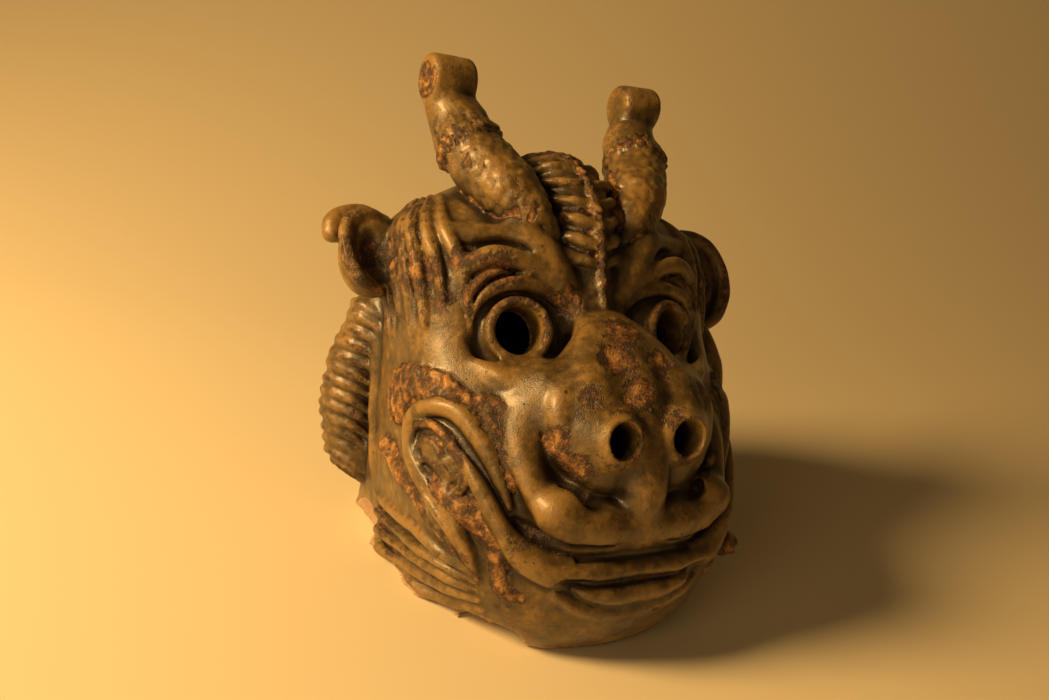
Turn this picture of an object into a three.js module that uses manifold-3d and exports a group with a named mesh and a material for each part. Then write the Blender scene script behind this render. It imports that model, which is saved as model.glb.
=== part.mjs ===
// Ridge beast ornament: the hollow glazed stoneware head of a horned beast that sat on the ridge of a tiled roof,
// broken off at the neck. It is one fired piece. Millimetres, +Z up, the face looks along -Y and a little upward.
// The origin is at the middle of the flat break that the head stands on.
//
// The head is shaped in a face frame (x to the viewer's right, y to the back, z up, its origin behind the eyes)
// and then leaned back onto its break. Lengths written with unit() are shares of the head's height.
import * as THREE from "three";
import { mergeVertices } from "three/addons/utils/BufferGeometryUtils.js";
import Module from "manifold-3d";

// Driving dimensions
const HEAD_HEIGHT = 138; // from the crown down to the chin, along the face
const LEAN_BACK = 22; // degrees between the face and the vertical
const WALL = 7.5; // of the hollow head
const EYE_BORE = 11; // pierced pupil, through to the hollow
const EYE_RING = 2.8; // thickness of the roll of clay round the pupil
const NOSTRIL_BORE = 8.4;
const NOSTRIL_DEPTH = 8;
const NOSTRIL_RING = 2.6;
const HORN_THICKNESS = 18; // at its thickest
const HORN_CURL = 13.4; // across the rolled tip
const HORN_CURL_LENGTH = 11.2;
const LIP_THICKNESS = 6.6;
const BROW_THICKNESS = 8.4;
const LOCK_THICKNESS = 5.2; // a combed lock of the temples and the back
const MANE_LOCKS = 7; // on each side
const MANE_LOCK = 6.4; // thickness of one of them
const NECK_HALF_WIDTH = 43;
const NECK_HALF_DEPTH = 42;
const NECK_FOLDS = 5; // folds round the throat, one above the other
const NECK_FOLD_PITCH = 4.8;
const NECK_FOLD_DEPTH = 1.3;
const TEMPLE_FLUTES = 6; // on each side, between the ear and the brow
const CREST_SCALES = 8; // rows of scales up the forehead
const CREST_SCALE_DEPTH = 1.1;
const BACK_LOCKS = 5; // locks down the back of the head

const DRAWN_HEIGHT = 138; // the height at which the shares below were measured
const unit = (share) => (share * HEAD_HEIGHT) / DRAWN_HEIGHT;
const rad = THREE.MathUtils.degToRad;
const wasm = await Module();
wasm.setup();

// The skull: level sections, each with its height, its upright axis, its front and back, and its half width.
const SECTIONS = [
  { height: 55, axis: -4, front: -10, side: 4, back: 0 },
  { height: 52, axis: -4, front: -13, side: 14, back: 8 },
  { height: 47, axis: -5, front: -18, side: 25, back: 18 },
  { height: 42, axis: -7, front: -23, side: 35, back: 26 },
  { height: 37, axis: -11, front: -28, side: 42, back: 32 },
  { height: 28, axis: -18, front: -34, side: 45.5, back: 37 },
  { height: 15, axis: -20, front: -38, side: 46, back: 41 },
  { height: 5, axis: -20, front: -40, side: 46, back: 43 },
  { height: -8, axis: -20, front: -47, side: 46.5, back: 45 },
  { height: -20, axis: -20, front: -52, side: 47, back: 46 },
  { height: -35, axis: -20, front: -55, side: 46.5, back: 47 },
  { height: -50, axis: -20, front: -55, side: 44, back: 47 },
  { height: -62, axis: -20, front: -54, side: 38, back: 46 },
  { height: -72, axis: -20, front: -48, side: 30, back: 44 },
  { height: -79, axis: -20, front: -38, side: 24, back: 40 },
  { height: -92, axis: -20, front: -32, side: 20, back: 36 },
];
const FRONT_SQUARENESS = 2.7; // 2 is an ellipse, and more is squarer
const BACK_SQUARENESS = 2.3;
const CROWN = SECTIONS[0].height;
const FOOT = SECTIONS.at(-1).height;

// A smooth curve through one column of the sections, as a cubic whose slopes come from the neighbours.
function sectionValue(key, height) {
  const at = THREE.MathUtils.clamp(height, FOOT, CROWN);
  const found = SECTIONS.findIndex((s, i) => i > 0 && s.height <= at);
  const lower = found < 0 ? SECTIONS.length - 1 : found;
  const knots = [lower + 1, lower, lower - 1, lower - 2].map(
    (i) => SECTIONS[THREE.MathUtils.clamp(i, 0, SECTIONS.length - 1)],
  );
  const [before, start, end, after] = knots;
  const span = end.height - start.height;
  const t = (at - start.height) / span;
  const slope = (a, b) => ((b[key] - a[key]) / Math.max(b.height - a.height, 1e-6)) * span;
  const slopeStart = slope(before, end);
  const slopeEnd = slope(start, after);
  const t2 = t * t;
  const t3 = t2 * t;
  return (
    (2 * t3 - 3 * t2 + 1) * start[key] +
    (t3 - 2 * t2 + t) * slopeStart +
    (3 * t2 - 2 * t3) * end[key] +
    (t3 - t2) * slopeEnd
  );
}

// Distance from the axis to the skin. Bearing 0 is the front, and it grows towards +X, in degrees.
function skinRadius(bearing, height) {
  const a = rad(bearing);
  const facing = Math.cos(a) >= 0;
  const axis = sectionValue("axis", height);
  const reach = facing ? axis - sectionValue("front", height) : sectionValue("back", height) - axis;
  const power = facing ? FRONT_SQUARENESS : BACK_SQUARENESS;
  const across = Math.abs(Math.sin(a)) / sectionValue("side", height);
  const along = Math.abs(Math.cos(a)) / reach;
  return (across ** power + along ** power) ** (-1 / power);
}

// A point on the skin, or lift millimetres off it, in shares.
function onSkin(bearing, height, lift = 0) {
  const a = rad(bearing);
  const r = skinRadius(bearing, height) + lift;
  return new THREE.Vector3(r * Math.sin(a), sectionValue("axis", height) - r * Math.cos(a), height);
}

// From the face frame to the part's own frame: scaled, leaned back and set down on the break.
const BREAK_DROP = 57.8; // from the face frame's origin straight down to the break
const toPart = new THREE.Matrix4() // not yet centred on the origin
  .makeTranslation(0, 0, unit(BREAK_DROP))
  .multiply(new THREE.Matrix4().makeRotationX(-rad(LEAN_BACK)))
  .multiply(new THREE.Matrix4().makeScale(unit(1), unit(1), unit(1)));

function manifold(geometry) {
  const plain = geometry.clone();
  plain.deleteAttribute("normal");
  plain.deleteAttribute("uv");
  const merged = mergeVertices(plain, 1e-4);
  return new wasm.Manifold(
    new wasm.Mesh({
      numProp: 3,
      vertProperties: merged.attributes.position.array,
      triVerts: new Uint32Array(merged.index.array),
    }),
  );
}

const inPart = (geometry) => manifold(geometry.applyMatrix4(toPart));
const joined = (solids) => solids.reduce((whole, solid) => whole.add(solid));
// A pocket of air shut in between two rolls of clay is a body of its own with its faces inward: it is filled.
const withoutPockets = (solid) => joined(solid.decompose().filter((body) => body.volume() > 0));
const mirrored = (make) => [make(-1), make(1)];

// A sphere whose every point is moved by place(bearing, share of the way down).
function moulded(around, down, place) {
  const geometry = new THREE.SphereGeometry(1, around, down);
  const position = geometry.attributes.position;
  for (let i = 0; i < position.count; i++) {
    const direction = new THREE.Vector3().fromBufferAttribute(position, i);
    const share = Math.acos(THREE.MathUtils.clamp(direction.y, -1, 1)) / Math.PI;
    const bearing = THREE.MathUtils.radToDeg(Math.atan2(direction.x, direction.z));
    const p = place(bearing, share);
    position.setXYZ(i, p.x, p.y, p.z);
  }
  return geometry;
}

// A roll of clay along a smooth curve, pointed at both ends. Halves lists its half thickness along it.
const TIP_LENGTH = 0.9; // of the half thickness there
function roll(points, halves, sides = 5, steps = 8) {
  const curve = new THREE.CatmullRomCurve3(points, false, "centripetal");
  const frames = curve.computeFrenetFrames(steps, false);
  const halfAt = (t) => {
    const place = t * (halves.length - 1);
    const i = Math.min(Math.floor(place), halves.length - 2);
    return halves.length === 1 ? halves[0] : THREE.MathUtils.lerp(halves[i], halves[i + 1], place - i);
  };
  const rings = Array.from({ length: steps + 1 }, (_, i) => {
    const half = halfAt(i / steps);
    return Array.from({ length: sides }, (_, k) => {
      const a = (2 * Math.PI * k) / sides;
      return curve
        .getPointAt(i / steps)
        .addScaledVector(frames.normals[i], Math.cos(a) * half)
        .addScaledVector(frames.binormals[i], Math.sin(a) * half);
    });
  });
  const tips = [
    curve.getPointAt(0).addScaledVector(frames.tangents[0], -TIP_LENGTH * halfAt(0)),
    curve.getPointAt(1).addScaledVector(frames.tangents[steps], TIP_LENGTH * halfAt(1)),
  ];
  const positions = rings.flat().concat(tips).flatMap((p) => p.toArray());
  const index = [];
  const last = rings.length - 1;
  const [startTip, endTip] = [rings.length * sides, rings.length * sides + 1];
  for (let k = 0; k < sides; k++) {
    const next = (k + 1) % sides;
    for (let i = 0; i < last; i++) {
      const [a, b] = [i * sides + k, i * sides + next];
      index.push(a, b, a + sides, b, b + sides, a + sides);
    }
    index.push(startTip, next, k, endTip, last * sides + k, last * sides + next);
  }
  const geometry = new THREE.BufferGeometry();
  geometry.setAttribute("position", new THREE.Float32BufferAttribute(positions, 3));
  geometry.setIndex(index);
  return geometry;
}

const point = (side, [x, y, z]) => new THREE.Vector3(side * x, y, z);
// Rolls that lie on the skin are given by bearings and heights; those that stand free by points.
const skinRoll = (side, marks, halves, lift, sides, steps) =>
  inPart(roll(marks.map(([bearing, height]) => onSkin(side * bearing, height, lift)), halves, sides, steps));
const freeRoll = (side, points, halves, sides, steps) =>
  inPart(roll(points.map((p) => point(side, p)), halves, sides, steps));

function ball(side, centre, [x, y, z], around = 12, down = 8) {
  const geometry = new THREE.SphereGeometry(1, around, down).scale(x, y, z);
  return inPart(geometry.translate(side * centre[0], centre[1], centre[2]));
}

// The skull as a closed shell form. Inset is how far its surface lies inside the skin.
function skull(inset, around, down) {
  const top = CROWN - inset * 0.8;
  const place = (bearing, share) => {
    const height = THREE.MathUtils.lerp(top, FOOT, (1 - Math.cos(share * Math.PI)) / 2);
    const atPole = share < 1e-6 || share > 1 - 1e-6;
    const r = atPole ? 0 : Math.max(skinRadius(bearing, height) - inset, 1);
    const axis = sectionValue("axis", height);
    return new THREE.Vector3(r * Math.sin(rad(bearing)), axis - r * Math.cos(rad(bearing)), height);
  };
  return inPart(moulded(around, down, place));
}

// The neck stands upright under the leaning head, but the folds of the throat lie level with the face.
const NECK_TOP = unit(-25); // in the face frame, inside the head
const NECK_MIDDLE = unit(-9);
const NECK_SQUARENESS = 3;
const FOLDS_TOP = unit(-47); // in the face frame
const NECK_REACH = unit(45); // from there to below the break
const RINGS_PER_FOLD = 3;
function neck(inset, around, folds) {
  const ringPitch = NECK_FOLD_PITCH / RINGS_PER_FOLD;
  const foldRings = folds * RINGS_PER_FOLD;
  const down = foldRings + 3;
  const place = (bearing, share) => {
    const ring = Math.round(share * down);
    const inFolds = ring > 1 && ring < down - 1;
    const level = ring < 2 ? NECK_TOP - inset : FOLDS_TOP - (ring - 2) * ringPitch;
    const depth = inFolds && folds ? NECK_FOLD_DEPTH * Math.cos((2 * Math.PI * (ring - 2)) / RINGS_PER_FOLD) : 0;
    const a = rad(bearing);
    const across = Math.abs(Math.sin(a)) / (NECK_HALF_WIDTH - inset);
    const along = Math.abs(Math.cos(a)) / (NECK_HALF_DEPTH - inset);
    const r = (across ** NECK_SQUARENESS + along ** NECK_SQUARENESS) ** (-1 / NECK_SQUARENESS) + depth;
    const reach = ring === 0 || ring === down ? 0 : r;
    const x = reach * Math.sin(a);
    const y = NECK_MIDDLE - reach * Math.cos(a);
    const faceHeight = ring >= down - 1 ? FOLDS_TOP - NECK_REACH : level;
    const climb = (faceHeight - y * Math.sin(rad(LEAN_BACK))) / Math.cos(rad(LEAN_BACK));
    return new THREE.Vector3(x, y, unit(BREAK_DROP) + climb);
  };
  return manifold(moulded(around, down, place));
}

// Nose: a wedge that widens from the bridge to two round wings, over a septum that reaches the lip.
const NOSE_LINE = [[0, -36, 13], [0, -37, 3], [0, -45, -7], [0, -48, -17], [0, -50, -25]];
function nose() {
  const bridge = freeRoll(1, NOSE_LINE, [6, 9, 13.5, 16.5, 15.5], 7, 4);
  const wings = mirrored((side) => ball(side, [12.5, -54, -23], [10.5, 10.5, 12], 10, 7));
  const septum = freeRoll(1, [[0, -58, -24], [0, -60, -34], [0, -59, -42]], [7, 5, 5], 6, 3);
  return joined([bridge, septum, ...wings]);
}

const NOSTRIL = [9.8, -64, -21.4];
const NOSTRIL_OUT = new THREE.Vector3(0.12, -1, 0.06).normalize();
const EYE = [23.4, -37.5, 4.8];
const EYE_SPLAY = 14; // degrees that each eye turns outward
const EYE_UP = 4;
const eyeOut = (side) =>
  new THREE.Vector3(side * Math.sin(rad(EYE_SPLAY)), -Math.cos(rad(EYE_SPLAY)), Math.sin(rad(EYE_UP))).normalize();

// Points on an arc round an axis; 0 degrees is outward from the face's middle and 90 is up.
function arc(side, centre, out, radius, from, to, forward, count = 7) {
  const across = new THREE.Vector3(0, 0, 1).cross(out).normalize().multiplyScalar(side);
  const up = out.clone().cross(across).multiplyScalar(side).normalize();
  if (up.z < 0) up.negate();
  if (across.x * side < 0) across.negate();
  return Array.from({ length: count }, (_, i) => {
    const a = rad(THREE.MathUtils.lerp(from, to, i / (count - 1)));
    return point(side, centre)
      .addScaledVector(across, radius * Math.cos(a))
      .addScaledVector(up, radius * Math.sin(a))
      .addScaledVector(out, forward);
  });
}

// A turned form on an axis: profile points are [radius, distance along the axis], from the back outward.
function turned(centre, out, profile, around = 12) {
  const geometry = new THREE.LatheGeometry(profile.map(([r, h]) => new THREE.Vector2(r, h)), around);
  const turn = new THREE.Quaternion().setFromUnitVectors(new THREE.Vector3(0, 1, 0), out);
  return geometry.applyQuaternion(turn).translate(centre.x, centre.y, centre.z);
}

// The eye is a mound with a ring on it. Depths are along its axis, and less than nothing lies behind the ring.
const MOUND = { foot: -8, footWiden: 4.6, shoulder: -3.4, shoulderWiden: 3.4, lip: -0.6 };
const RING_CREST = 1.8;
const LIDS = [
  { beyond: 5, from: -5, to: 188, depth: -3.4, halves: [1.4, 2.4, 2.6, 2.2, 1.4], steps: 5 },
  { beyond: 6.4, from: 205, to: 335, depth: -4.6, halves: [1, 1.9, 1.9, 1], steps: 4 },
  { beyond: 9.6, from: 42, to: 178, depth: -3.6, halves: [1, 2.4, 2.6, 1.4], steps: 4 },
];
function eye(side) {
  const out = eyeOut(side);
  const half = EYE_RING / 2 / unit(1);
  const middle = EYE_BORE / 2 / unit(1) + half;
  const { foot, footWiden, shoulder, shoulderWiden, lip } = MOUND;
  const ring = [[0, foot], [middle + footWiden, foot], [middle + shoulderWiden, shoulder], [middle + half, lip]];
  ring.push([middle, RING_CREST], [middle - half, RING_CREST - half / 2], [0, RING_CREST - half / 2]);
  const lids = LIDS.map(({ beyond, from, to, depth, halves, steps }) =>
    roll(arc(side, EYE, out, middle + beyond, from, to, depth), halves, 4, steps),
  );
  return joined([turned(point(side, EYE), out, ring), ...lids].map(inPart));
}

const EYE_BORE_LENGTH = { behind: -34, before: 9 };
function eyeBore(side) {
  const radius = EYE_BORE / 2 / unit(1);
  const { behind, before } = EYE_BORE_LENGTH;
  const profile = [[0, behind], [radius, behind], [radius, before], [0, before]];
  return inPart(turned(point(side, EYE), eyeOut(side), profile));
}

function nostrilRing(side) {
  const out = NOSTRIL_OUT.clone().setX(side * NOSTRIL_OUT.x);
  const rim = (NOSTRIL_BORE / 2 + NOSTRIL_RING / 2) / unit(1);
  const half = NOSTRIL_RING / 2 / unit(1);
  const profile = [[0, -6], [rim + half * 1.6, -6], [rim + half, 0], [rim, 1.2], [0, 1.2]];
  return inPart(turned(point(side, NOSTRIL), out, profile));
}

function nostrilBore(side) {
  const out = NOSTRIL_OUT.clone().setX(side * NOSTRIL_OUT.x);
  const radius = NOSTRIL_BORE / 2 / unit(1);
  const depth = NOSTRIL_DEPTH / unit(1);
  return inPart(turned(point(side, NOSTRIL), out, [[0, -depth], [radius * 0.6, -depth], [radius, 6], [0, 6]], 12));
}

// Horn: thick and scaly from the brow, then a thinner stem whose tip is rolled up sideways.
const HORN_SHEATH = [[9, -38, 21], [13, -36, 28], [20, -29, 40], [26, -21, 51], [29, -15, 59]];
const HORN_STEM = [[26, -20, 51], [29.5, -14, 60], [31.5, -12, 69], [31.2, -12, 73]];
const CURL_CENTRE = [31.2, -12.5, 74];
function horn(side) {
  const thick = HORN_THICKNESS / 2 / unit(1);
  const curl = HORN_CURL / 2 / unit(1);
  const reach = HORN_CURL_LENGTH / 2 / unit(1);
  const rolled = [[0, -reach], [curl * 0.85, -reach], [curl, -reach * 0.8], [curl, reach * 0.8]];
  rolled.push([curl * 0.85, reach], [0, reach]);
  const tip = turned(point(side, CURL_CENTRE), new THREE.Vector3(1, 0, 0), rolled, 10);
  return joined([
    freeRoll(side, HORN_SHEATH, [0.3, 0.86, 1, 0.98, 0.8].map((share) => share * thick), 7, 5),
    freeRoll(side, HORN_STEM, [0.8, 0.76, 0.66, 0.7].map((share) => share * thick), 6, 3),
    inPart(tip),
  ]);
}

// Ear: a curled rim round a hollowed leaf.
function ear(side) {
  const rim = [[43, -2, 33], [51, -3, 36.5], [57.5, -6, 34], [59, -10, 27], [57, -12, 19.5], [50, -11, 16]];
  return joined([
    freeRoll(side, rim, [4, 4.2, 3.6, 3, 3, 2.6], 5, 7),
    ball(side, [50, -5, 25], [9, 4.5, 11], 8, 5),
    freeRoll(side, [[56, 0, 34], [60, 2, 31], [58, 2, 24]], [3, 3.6, 2.4], 5, 3),
  ]);
}

// Carved rolls of the cheek and mouth, as [bearing, height] on the +X side. The mouth rolls run across both sides.
const MOUTH_ROLL = [[84, -24], [83, -17], [76, -13], [68, -14], [62, -19], [54, -27], [48, -34], [42, -42]];
MOUTH_ROLL.push([34, -48], [23, -52], [9, -54]);
const CHIN_FOLD = [[62, -25], [55, -35], [50, -42], [45, -50], [38, -55], [28, -59], [10, -61.5]];
const LEAF = [[84, -24], [82, -30], [75, -35], [68, -40], [62, -46], [55, -53]];
const CORD = [[72, -20], [67, -24], [69, -29], [62, -36], [55, -43], [50, -50], [47, -57]];
const OUTER_CORD = [[101, -18], [99, -27], [87, -35], [76, -41], [67, -46], [58, -52]];
const CHEEK_CREST = [[104, -12], [96, -7], [83, -5], [73, -6.5], [65, -10], [58, -15], [51, -17], [46, -24]];
// The flew is the fold of the upper lip that hangs from beside the nose and swells in front, as points.
const FLEW = [[10, -42, 3], [17, -45, -4], [23, -46, -11], [27, -47.5, -19], [28, -49, -28], [26, -51.5, -35]];
FLEW.push([20, -54.5, -40], [12, -57, -43], [2, -57, -45]);
const FLEW_HALVES = [3.5, 5.5, 6.5, 6.4, 5.6, 6, 7.2, 6.2, 5.4];
const BROW_FOLD = [[76, 29], [70, 24], [60, 22], [48, 21.5], [32, 19], [19, 12]];
const TEETH = [[27, -33.5], [20, -34.5]];
const acrossBoth = (marks) => [...marks.map(([b, h]) => [-b, h]), ...marks.map(([b, h]) => [b, h]).reverse()];
const thereAndBack = (halves) => [...halves, ...halves.slice().reverse()];

function mouth() {
  const lip = LIP_THICKNESS / 2 / unit(1);
  const lipHalves = thereAndBack([0.8, 1, 1, 1.05, 1.05, 1]).map((share) => share * lip);
  const foldHalves = thereAndBack([0.5, 0.8, 0.85, 0.8]).map((share) => share * lip);
  const tooth = (side) =>
    TEETH.map(([bearing, height]) => {
      const root = onSkin(side * bearing, height + 3, 3);
      const tip = onSkin(side * bearing, height - 2, 4.5);
      return inPart(roll([root, tip], [2, 1], 4, 1));
    });
  return joined([
    skinRoll(1, acrossBoth(MOUTH_ROLL), lipHalves, 0.4, 4, 20),
    skinRoll(1, acrossBoth(CHIN_FOLD), foldHalves, 0.2, 4, 12),
    ...mirrored((side) => freeRoll(side, FLEW, FLEW_HALVES, 6, 9)),
    ...tooth(-1),
    ...tooth(1),
  ]);
}

function cheek(side) {
  return joined([
    skinRoll(side, LEAF, [2.4, 2.8, 2.8, 2.6, 2, 1], 0, 4, 6),
    skinRoll(side, CORD, [2, 2.8, 3, 3, 2.6, 1.8], -0.4, 4, 7),
    skinRoll(side, OUTER_CORD, [1.6, 2.6, 2.6, 2.4, 1.4], -0.6, 4, 6),
    skinRoll(side, CHEEK_CREST, [1.6, 3, 3.2, 3.2, 3, 2.6, 1.6], -0.8, 4, 7),
  ]);
}

function brow(side) {
  const half = BROW_THICKNESS / 2 / unit(1);
  return skinRoll(side, BROW_FOLD, [0.5, 0.9, 1, 1, 0.8, 0.4].map((share) => share * half), 0, 5, 7);
}

function templeFlutes(side) {
  const half = LOCK_THICKNESS / 2 / unit(1);
  return joined(
    Array.from({ length: TEMPLE_FLUTES }, (_, i) => {
      const bearing = 74 + (i * 36) / (TEMPLE_FLUTES - 1);
      const low = 9 + 3 * Math.sin(i);
      const marks = [[bearing + 4, 40], [bearing + 2, 34], [bearing, 24], [bearing - 4, low]];
      return skinRoll(side, marks, [0.6, 1, 0.9, 0.4].map((share) => share * half), -0.7, 3, 3);
    }),
  );
}

// The mane stands out behind the cheek as a thick combed fall, whose locks run level one above the other.
const MANE_FALL = [[40, 14, 10], [42, 23, -4], [42.5, 29, -17], [42, 32, -28]];
const MANE_SWELL = 2.2; // the locks reach farthest out a little above the lowest one
function mane(side) {
  const half = MANE_LOCK / 2 / unit(1);
  const locks = Array.from({ length: MANE_LOCKS }, (_, i) => {
    const t = i / (MANE_LOCKS - 1);
    const height = THREE.MathUtils.lerp(14, -31, t);
    const back = 12 + 20 * t;
    const out = 48.8 + 3.4 * Math.sin(t * MANE_SWELL);
    const marks = [[out - 4, back - 15, height - 3], [out, back, height + 1], [out - 5, back + 15, height - 1]];
    return freeRoll(side, marks, [0.6, 1, 0.6].map((share) => share * half), 4, 3);
  });
  return joined([freeRoll(side, MANE_FALL, [9, 10.5, 11, 9], 7, 4), ...locks]);
}

function backLocks() {
  const half = LOCK_THICKNESS / 2 / unit(1);
  return joined(
    Array.from({ length: BACK_LOCKS }, (_, i) => {
      const bearing = 126 + (i * 108) / (BACK_LOCKS - 1);
      const sway = 5 * Math.sin(i * 1.3);
      const marks = [[bearing, 43], [bearing + sway, 22], [bearing - sway, -2], [bearing + sway, -26]];
      marks.push([bearing, -46]);
      return skinRoll(1, marks, [0.5, 1, 1.1, 1, 0.7].map((share) => share * half), -0.6, 4, 4);
    }),
  );
}

// Forehead: a hump between the horns, with scale rows across it and a beaded ridge down its middle.
function crest() {
  const hump = [[0, -38, 8], [0, -35, 20], [0, -31, 32], [0, -23, 42], [0, -10, 45], [0, 6, 41]];
  const fullness = [3.5, 6, 8.5, 10, 11, 11.5, 11, 10];
  const banded = Array.from({ length: 2 * CREST_SCALES }, (_, i) => {
    const place = (i / (2 * CREST_SCALES - 1)) * (fullness.length - 1);
    return fullness[Math.round(place)] + (i % 2 ? CREST_SCALE_DEPTH : 0);
  });
  const ridge = [[0, -43, 6], [0, -43.5, 15], [0, -43.5, 25], [0, -41.5, 36], [0, -34, 48], [0, -22, 54.5]];
  return joined([
    freeRoll(1, hump, banded, 7, 2 * CREST_SCALES - 1),
    freeRoll(1, ridge, [1.6, 1.8, 2, 2, 1.8, 1.4], 4, 6),
  ]);
}

// The broken rim: a box below the break, and wedges knocked out of the edge.
const RIM_CHIPS = [
  { at: [-27, -54, 1], size: [9, 12, 5], turn: 35 },
  { at: [30, -50, 4], size: [15, 13, 13], turn: -40 },
  { at: [46, -15, 1], size: [10, 9, 7], turn: 15 },
  { at: [-47, 3, 2], size: [7, 14, 8], turn: -20 },
  { at: [26, 34, 0], size: [14, 9, 6], turn: 25 },
  { at: [-20, 37, 1], size: [10, 8, 5], turn: -30 },
];
const BELOW_WIDTH = 400; // of the box that takes away everything under the break
const BELOW_DEPTH = 200;
function breakAway() {
  const box = new THREE.BoxGeometry(BELOW_WIDTH, BELOW_WIDTH, BELOW_DEPTH);
  const below = box.translate(0, 0, -BELOW_DEPTH / 2);
  const chips = RIM_CHIPS.map(({ at, size, turn }) => {
    const chip = new THREE.IcosahedronGeometry(1, 0).scale(...size.map(unit)).rotateZ(rad(turn));
    return manifold(chip.translate(...at.map(unit)));
  });
  return joined([manifold(below), ...chips]);
}

function head() {
  const chin = ball(1, [0, -36, -56], [28, 21, 21.5], 12, 7);
  const clay = joined([
    skull(0, 22, 15),
    neck(0, 14, NECK_FOLDS),
    chin,
    nose(),
    mouth(),
    crest(),
    backLocks(),
    ...mirrored(cheek),
    ...mirrored(eye),
    ...mirrored(nostrilRing),
    ...mirrored(horn),
    ...mirrored(ear),
    ...mirrored(templeFlutes),
    ...mirrored(mane),
    ...mirrored(brow),
  ]);
  const hollow = skull(WALL / unit(1), 14, 8).add(neck(WALL, 14, 0));
  const removed = joined([hollow, breakAway(), ...mirrored(eyeBore), ...mirrored(nostrilBore)]);
  return withoutPockets(clay.subtract(removed));
}

function toGeometry(solid) {
  const mesh = solid.getMesh();
  const geometry = new THREE.BufferGeometry();
  const positions = new Float32Array(mesh.numVert * 3);
  for (let i = 0; i < mesh.numVert; i++) {
    positions.set(mesh.vertProperties.subarray(i * mesh.numProp, i * mesh.numProp + 3), i * 3);
  }
  geometry.setAttribute("position", new THREE.BufferAttribute(positions, 3));
  geometry.setIndex(new THREE.BufferAttribute(mesh.triVerts, 1));
  geometry.computeBoundingBox();
  const middle = geometry.boundingBox.getCenter(new THREE.Vector3());
  geometry.translate(0, -middle.y, 0);
  geometry.computeVertexNormals();
  return geometry;
}

const glaze = new THREE.MeshStandardMaterial({ color: 0x7d7048, roughness: 0.28, metalness: 0 });
const beast = new THREE.Mesh(toGeometry(head()), glaze);
beast.name = "ridge_beast_head";
const ornament = new THREE.Group();
ornament.name = "ridge_beast_ornament";
ornament.add(beast);

export default ornament;
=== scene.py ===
# %% [markdown]
# # A ridge beast's head in glazed stoneware
# The real object is one piece of hand-modelled stoneware: a hollow shell of clay, with rolls of clay laid
# on it for lips, brows, locks and horns, cut with a wooden tool, dipped in an olive glaze and fired. The
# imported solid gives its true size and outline, but with flat facets. This lesson models the same head again
# as soft clay, so that each roll melts into the next one, and then glazes it.

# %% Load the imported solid
import math

import bpy
import numpy as np
import openvdb
from mathutils import Matrix, Vector


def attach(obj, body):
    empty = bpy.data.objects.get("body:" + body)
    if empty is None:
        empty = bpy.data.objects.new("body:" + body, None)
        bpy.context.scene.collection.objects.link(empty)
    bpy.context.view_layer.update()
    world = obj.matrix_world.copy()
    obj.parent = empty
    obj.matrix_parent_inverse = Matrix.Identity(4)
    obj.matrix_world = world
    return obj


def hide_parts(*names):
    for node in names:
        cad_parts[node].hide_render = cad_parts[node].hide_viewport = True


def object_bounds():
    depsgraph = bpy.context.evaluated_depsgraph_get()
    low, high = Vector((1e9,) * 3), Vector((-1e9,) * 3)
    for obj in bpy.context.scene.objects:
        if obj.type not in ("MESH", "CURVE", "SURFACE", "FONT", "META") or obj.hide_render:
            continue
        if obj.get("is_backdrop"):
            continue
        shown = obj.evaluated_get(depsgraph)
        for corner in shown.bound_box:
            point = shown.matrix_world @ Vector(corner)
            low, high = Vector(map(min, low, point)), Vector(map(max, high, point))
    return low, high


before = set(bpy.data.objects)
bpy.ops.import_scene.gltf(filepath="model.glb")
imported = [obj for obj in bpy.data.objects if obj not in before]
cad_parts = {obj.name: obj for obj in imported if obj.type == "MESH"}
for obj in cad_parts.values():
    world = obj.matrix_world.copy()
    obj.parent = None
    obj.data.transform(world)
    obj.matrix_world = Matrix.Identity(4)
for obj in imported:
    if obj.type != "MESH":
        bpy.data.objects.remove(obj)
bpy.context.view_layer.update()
HEAD_NODE = "ridge_beast_head"

# %% [markdown]
# ## Two frames
# The part stands on its broken neck and leans back. Its face is easier to shape upright, so all modelling
# happens in a face frame: millimetres, x to the viewer's right, y to the back, z up, origin between the
# eyes. One matrix takes that frame into the part's own, in metres.

# %% The face frame
MM = 0.001
LEAN_BACK = math.radians(22)
BREAK_DROP = 57.8  # from the face frame's origin straight down to the break
SET_BACK = 14.56  # the face frame's origin lies this far behind the middle of the part's box
SIDES = (-1, 1)

face_to_part = (
    Matrix.Scale(MM, 4)
    @ Matrix.Translation((0, SET_BACK, BREAK_DROP))
    @ Matrix.Rotation(-LEAN_BACK, 4, "X")
)
print("face frame's origin in the part:", tuple(face_to_part.translation))

# %% [markdown]
# ## The camera
# The photo was taken from less than 30 cm away, so nearness swells the muzzle. Mirrored pairs, such as the
# two eyes, two nostrils and two horn tips, are enough to work out where the camera stood. It looks at the
# origin of the face frame, from the viewer's left. Its lens follows from a focal length in pixels of the
# picture's width.

# %% Camera
PHOTO_WIDTH = 1049
FOCAL_PIXELS = 950
CAMERA_DISTANCE = 287  # millimetres
CAMERA_TURN = math.radians(29.5)
SENSOR_WIDTH = 36
NEAREST_SEEN = 0.01  # metres

right = Vector((math.cos(CAMERA_TURN), -math.sin(CAMERA_TURN), 0))
towards_camera = Vector((-math.sin(CAMERA_TURN), -math.cos(CAMERA_TURN), 0))
camera_turn = Matrix((right, (0, 0, 1), towards_camera)).transposed().to_4x4()
camera_in_face = Matrix.Translation(towards_camera * CAMERA_DISTANCE) @ camera_turn

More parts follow.
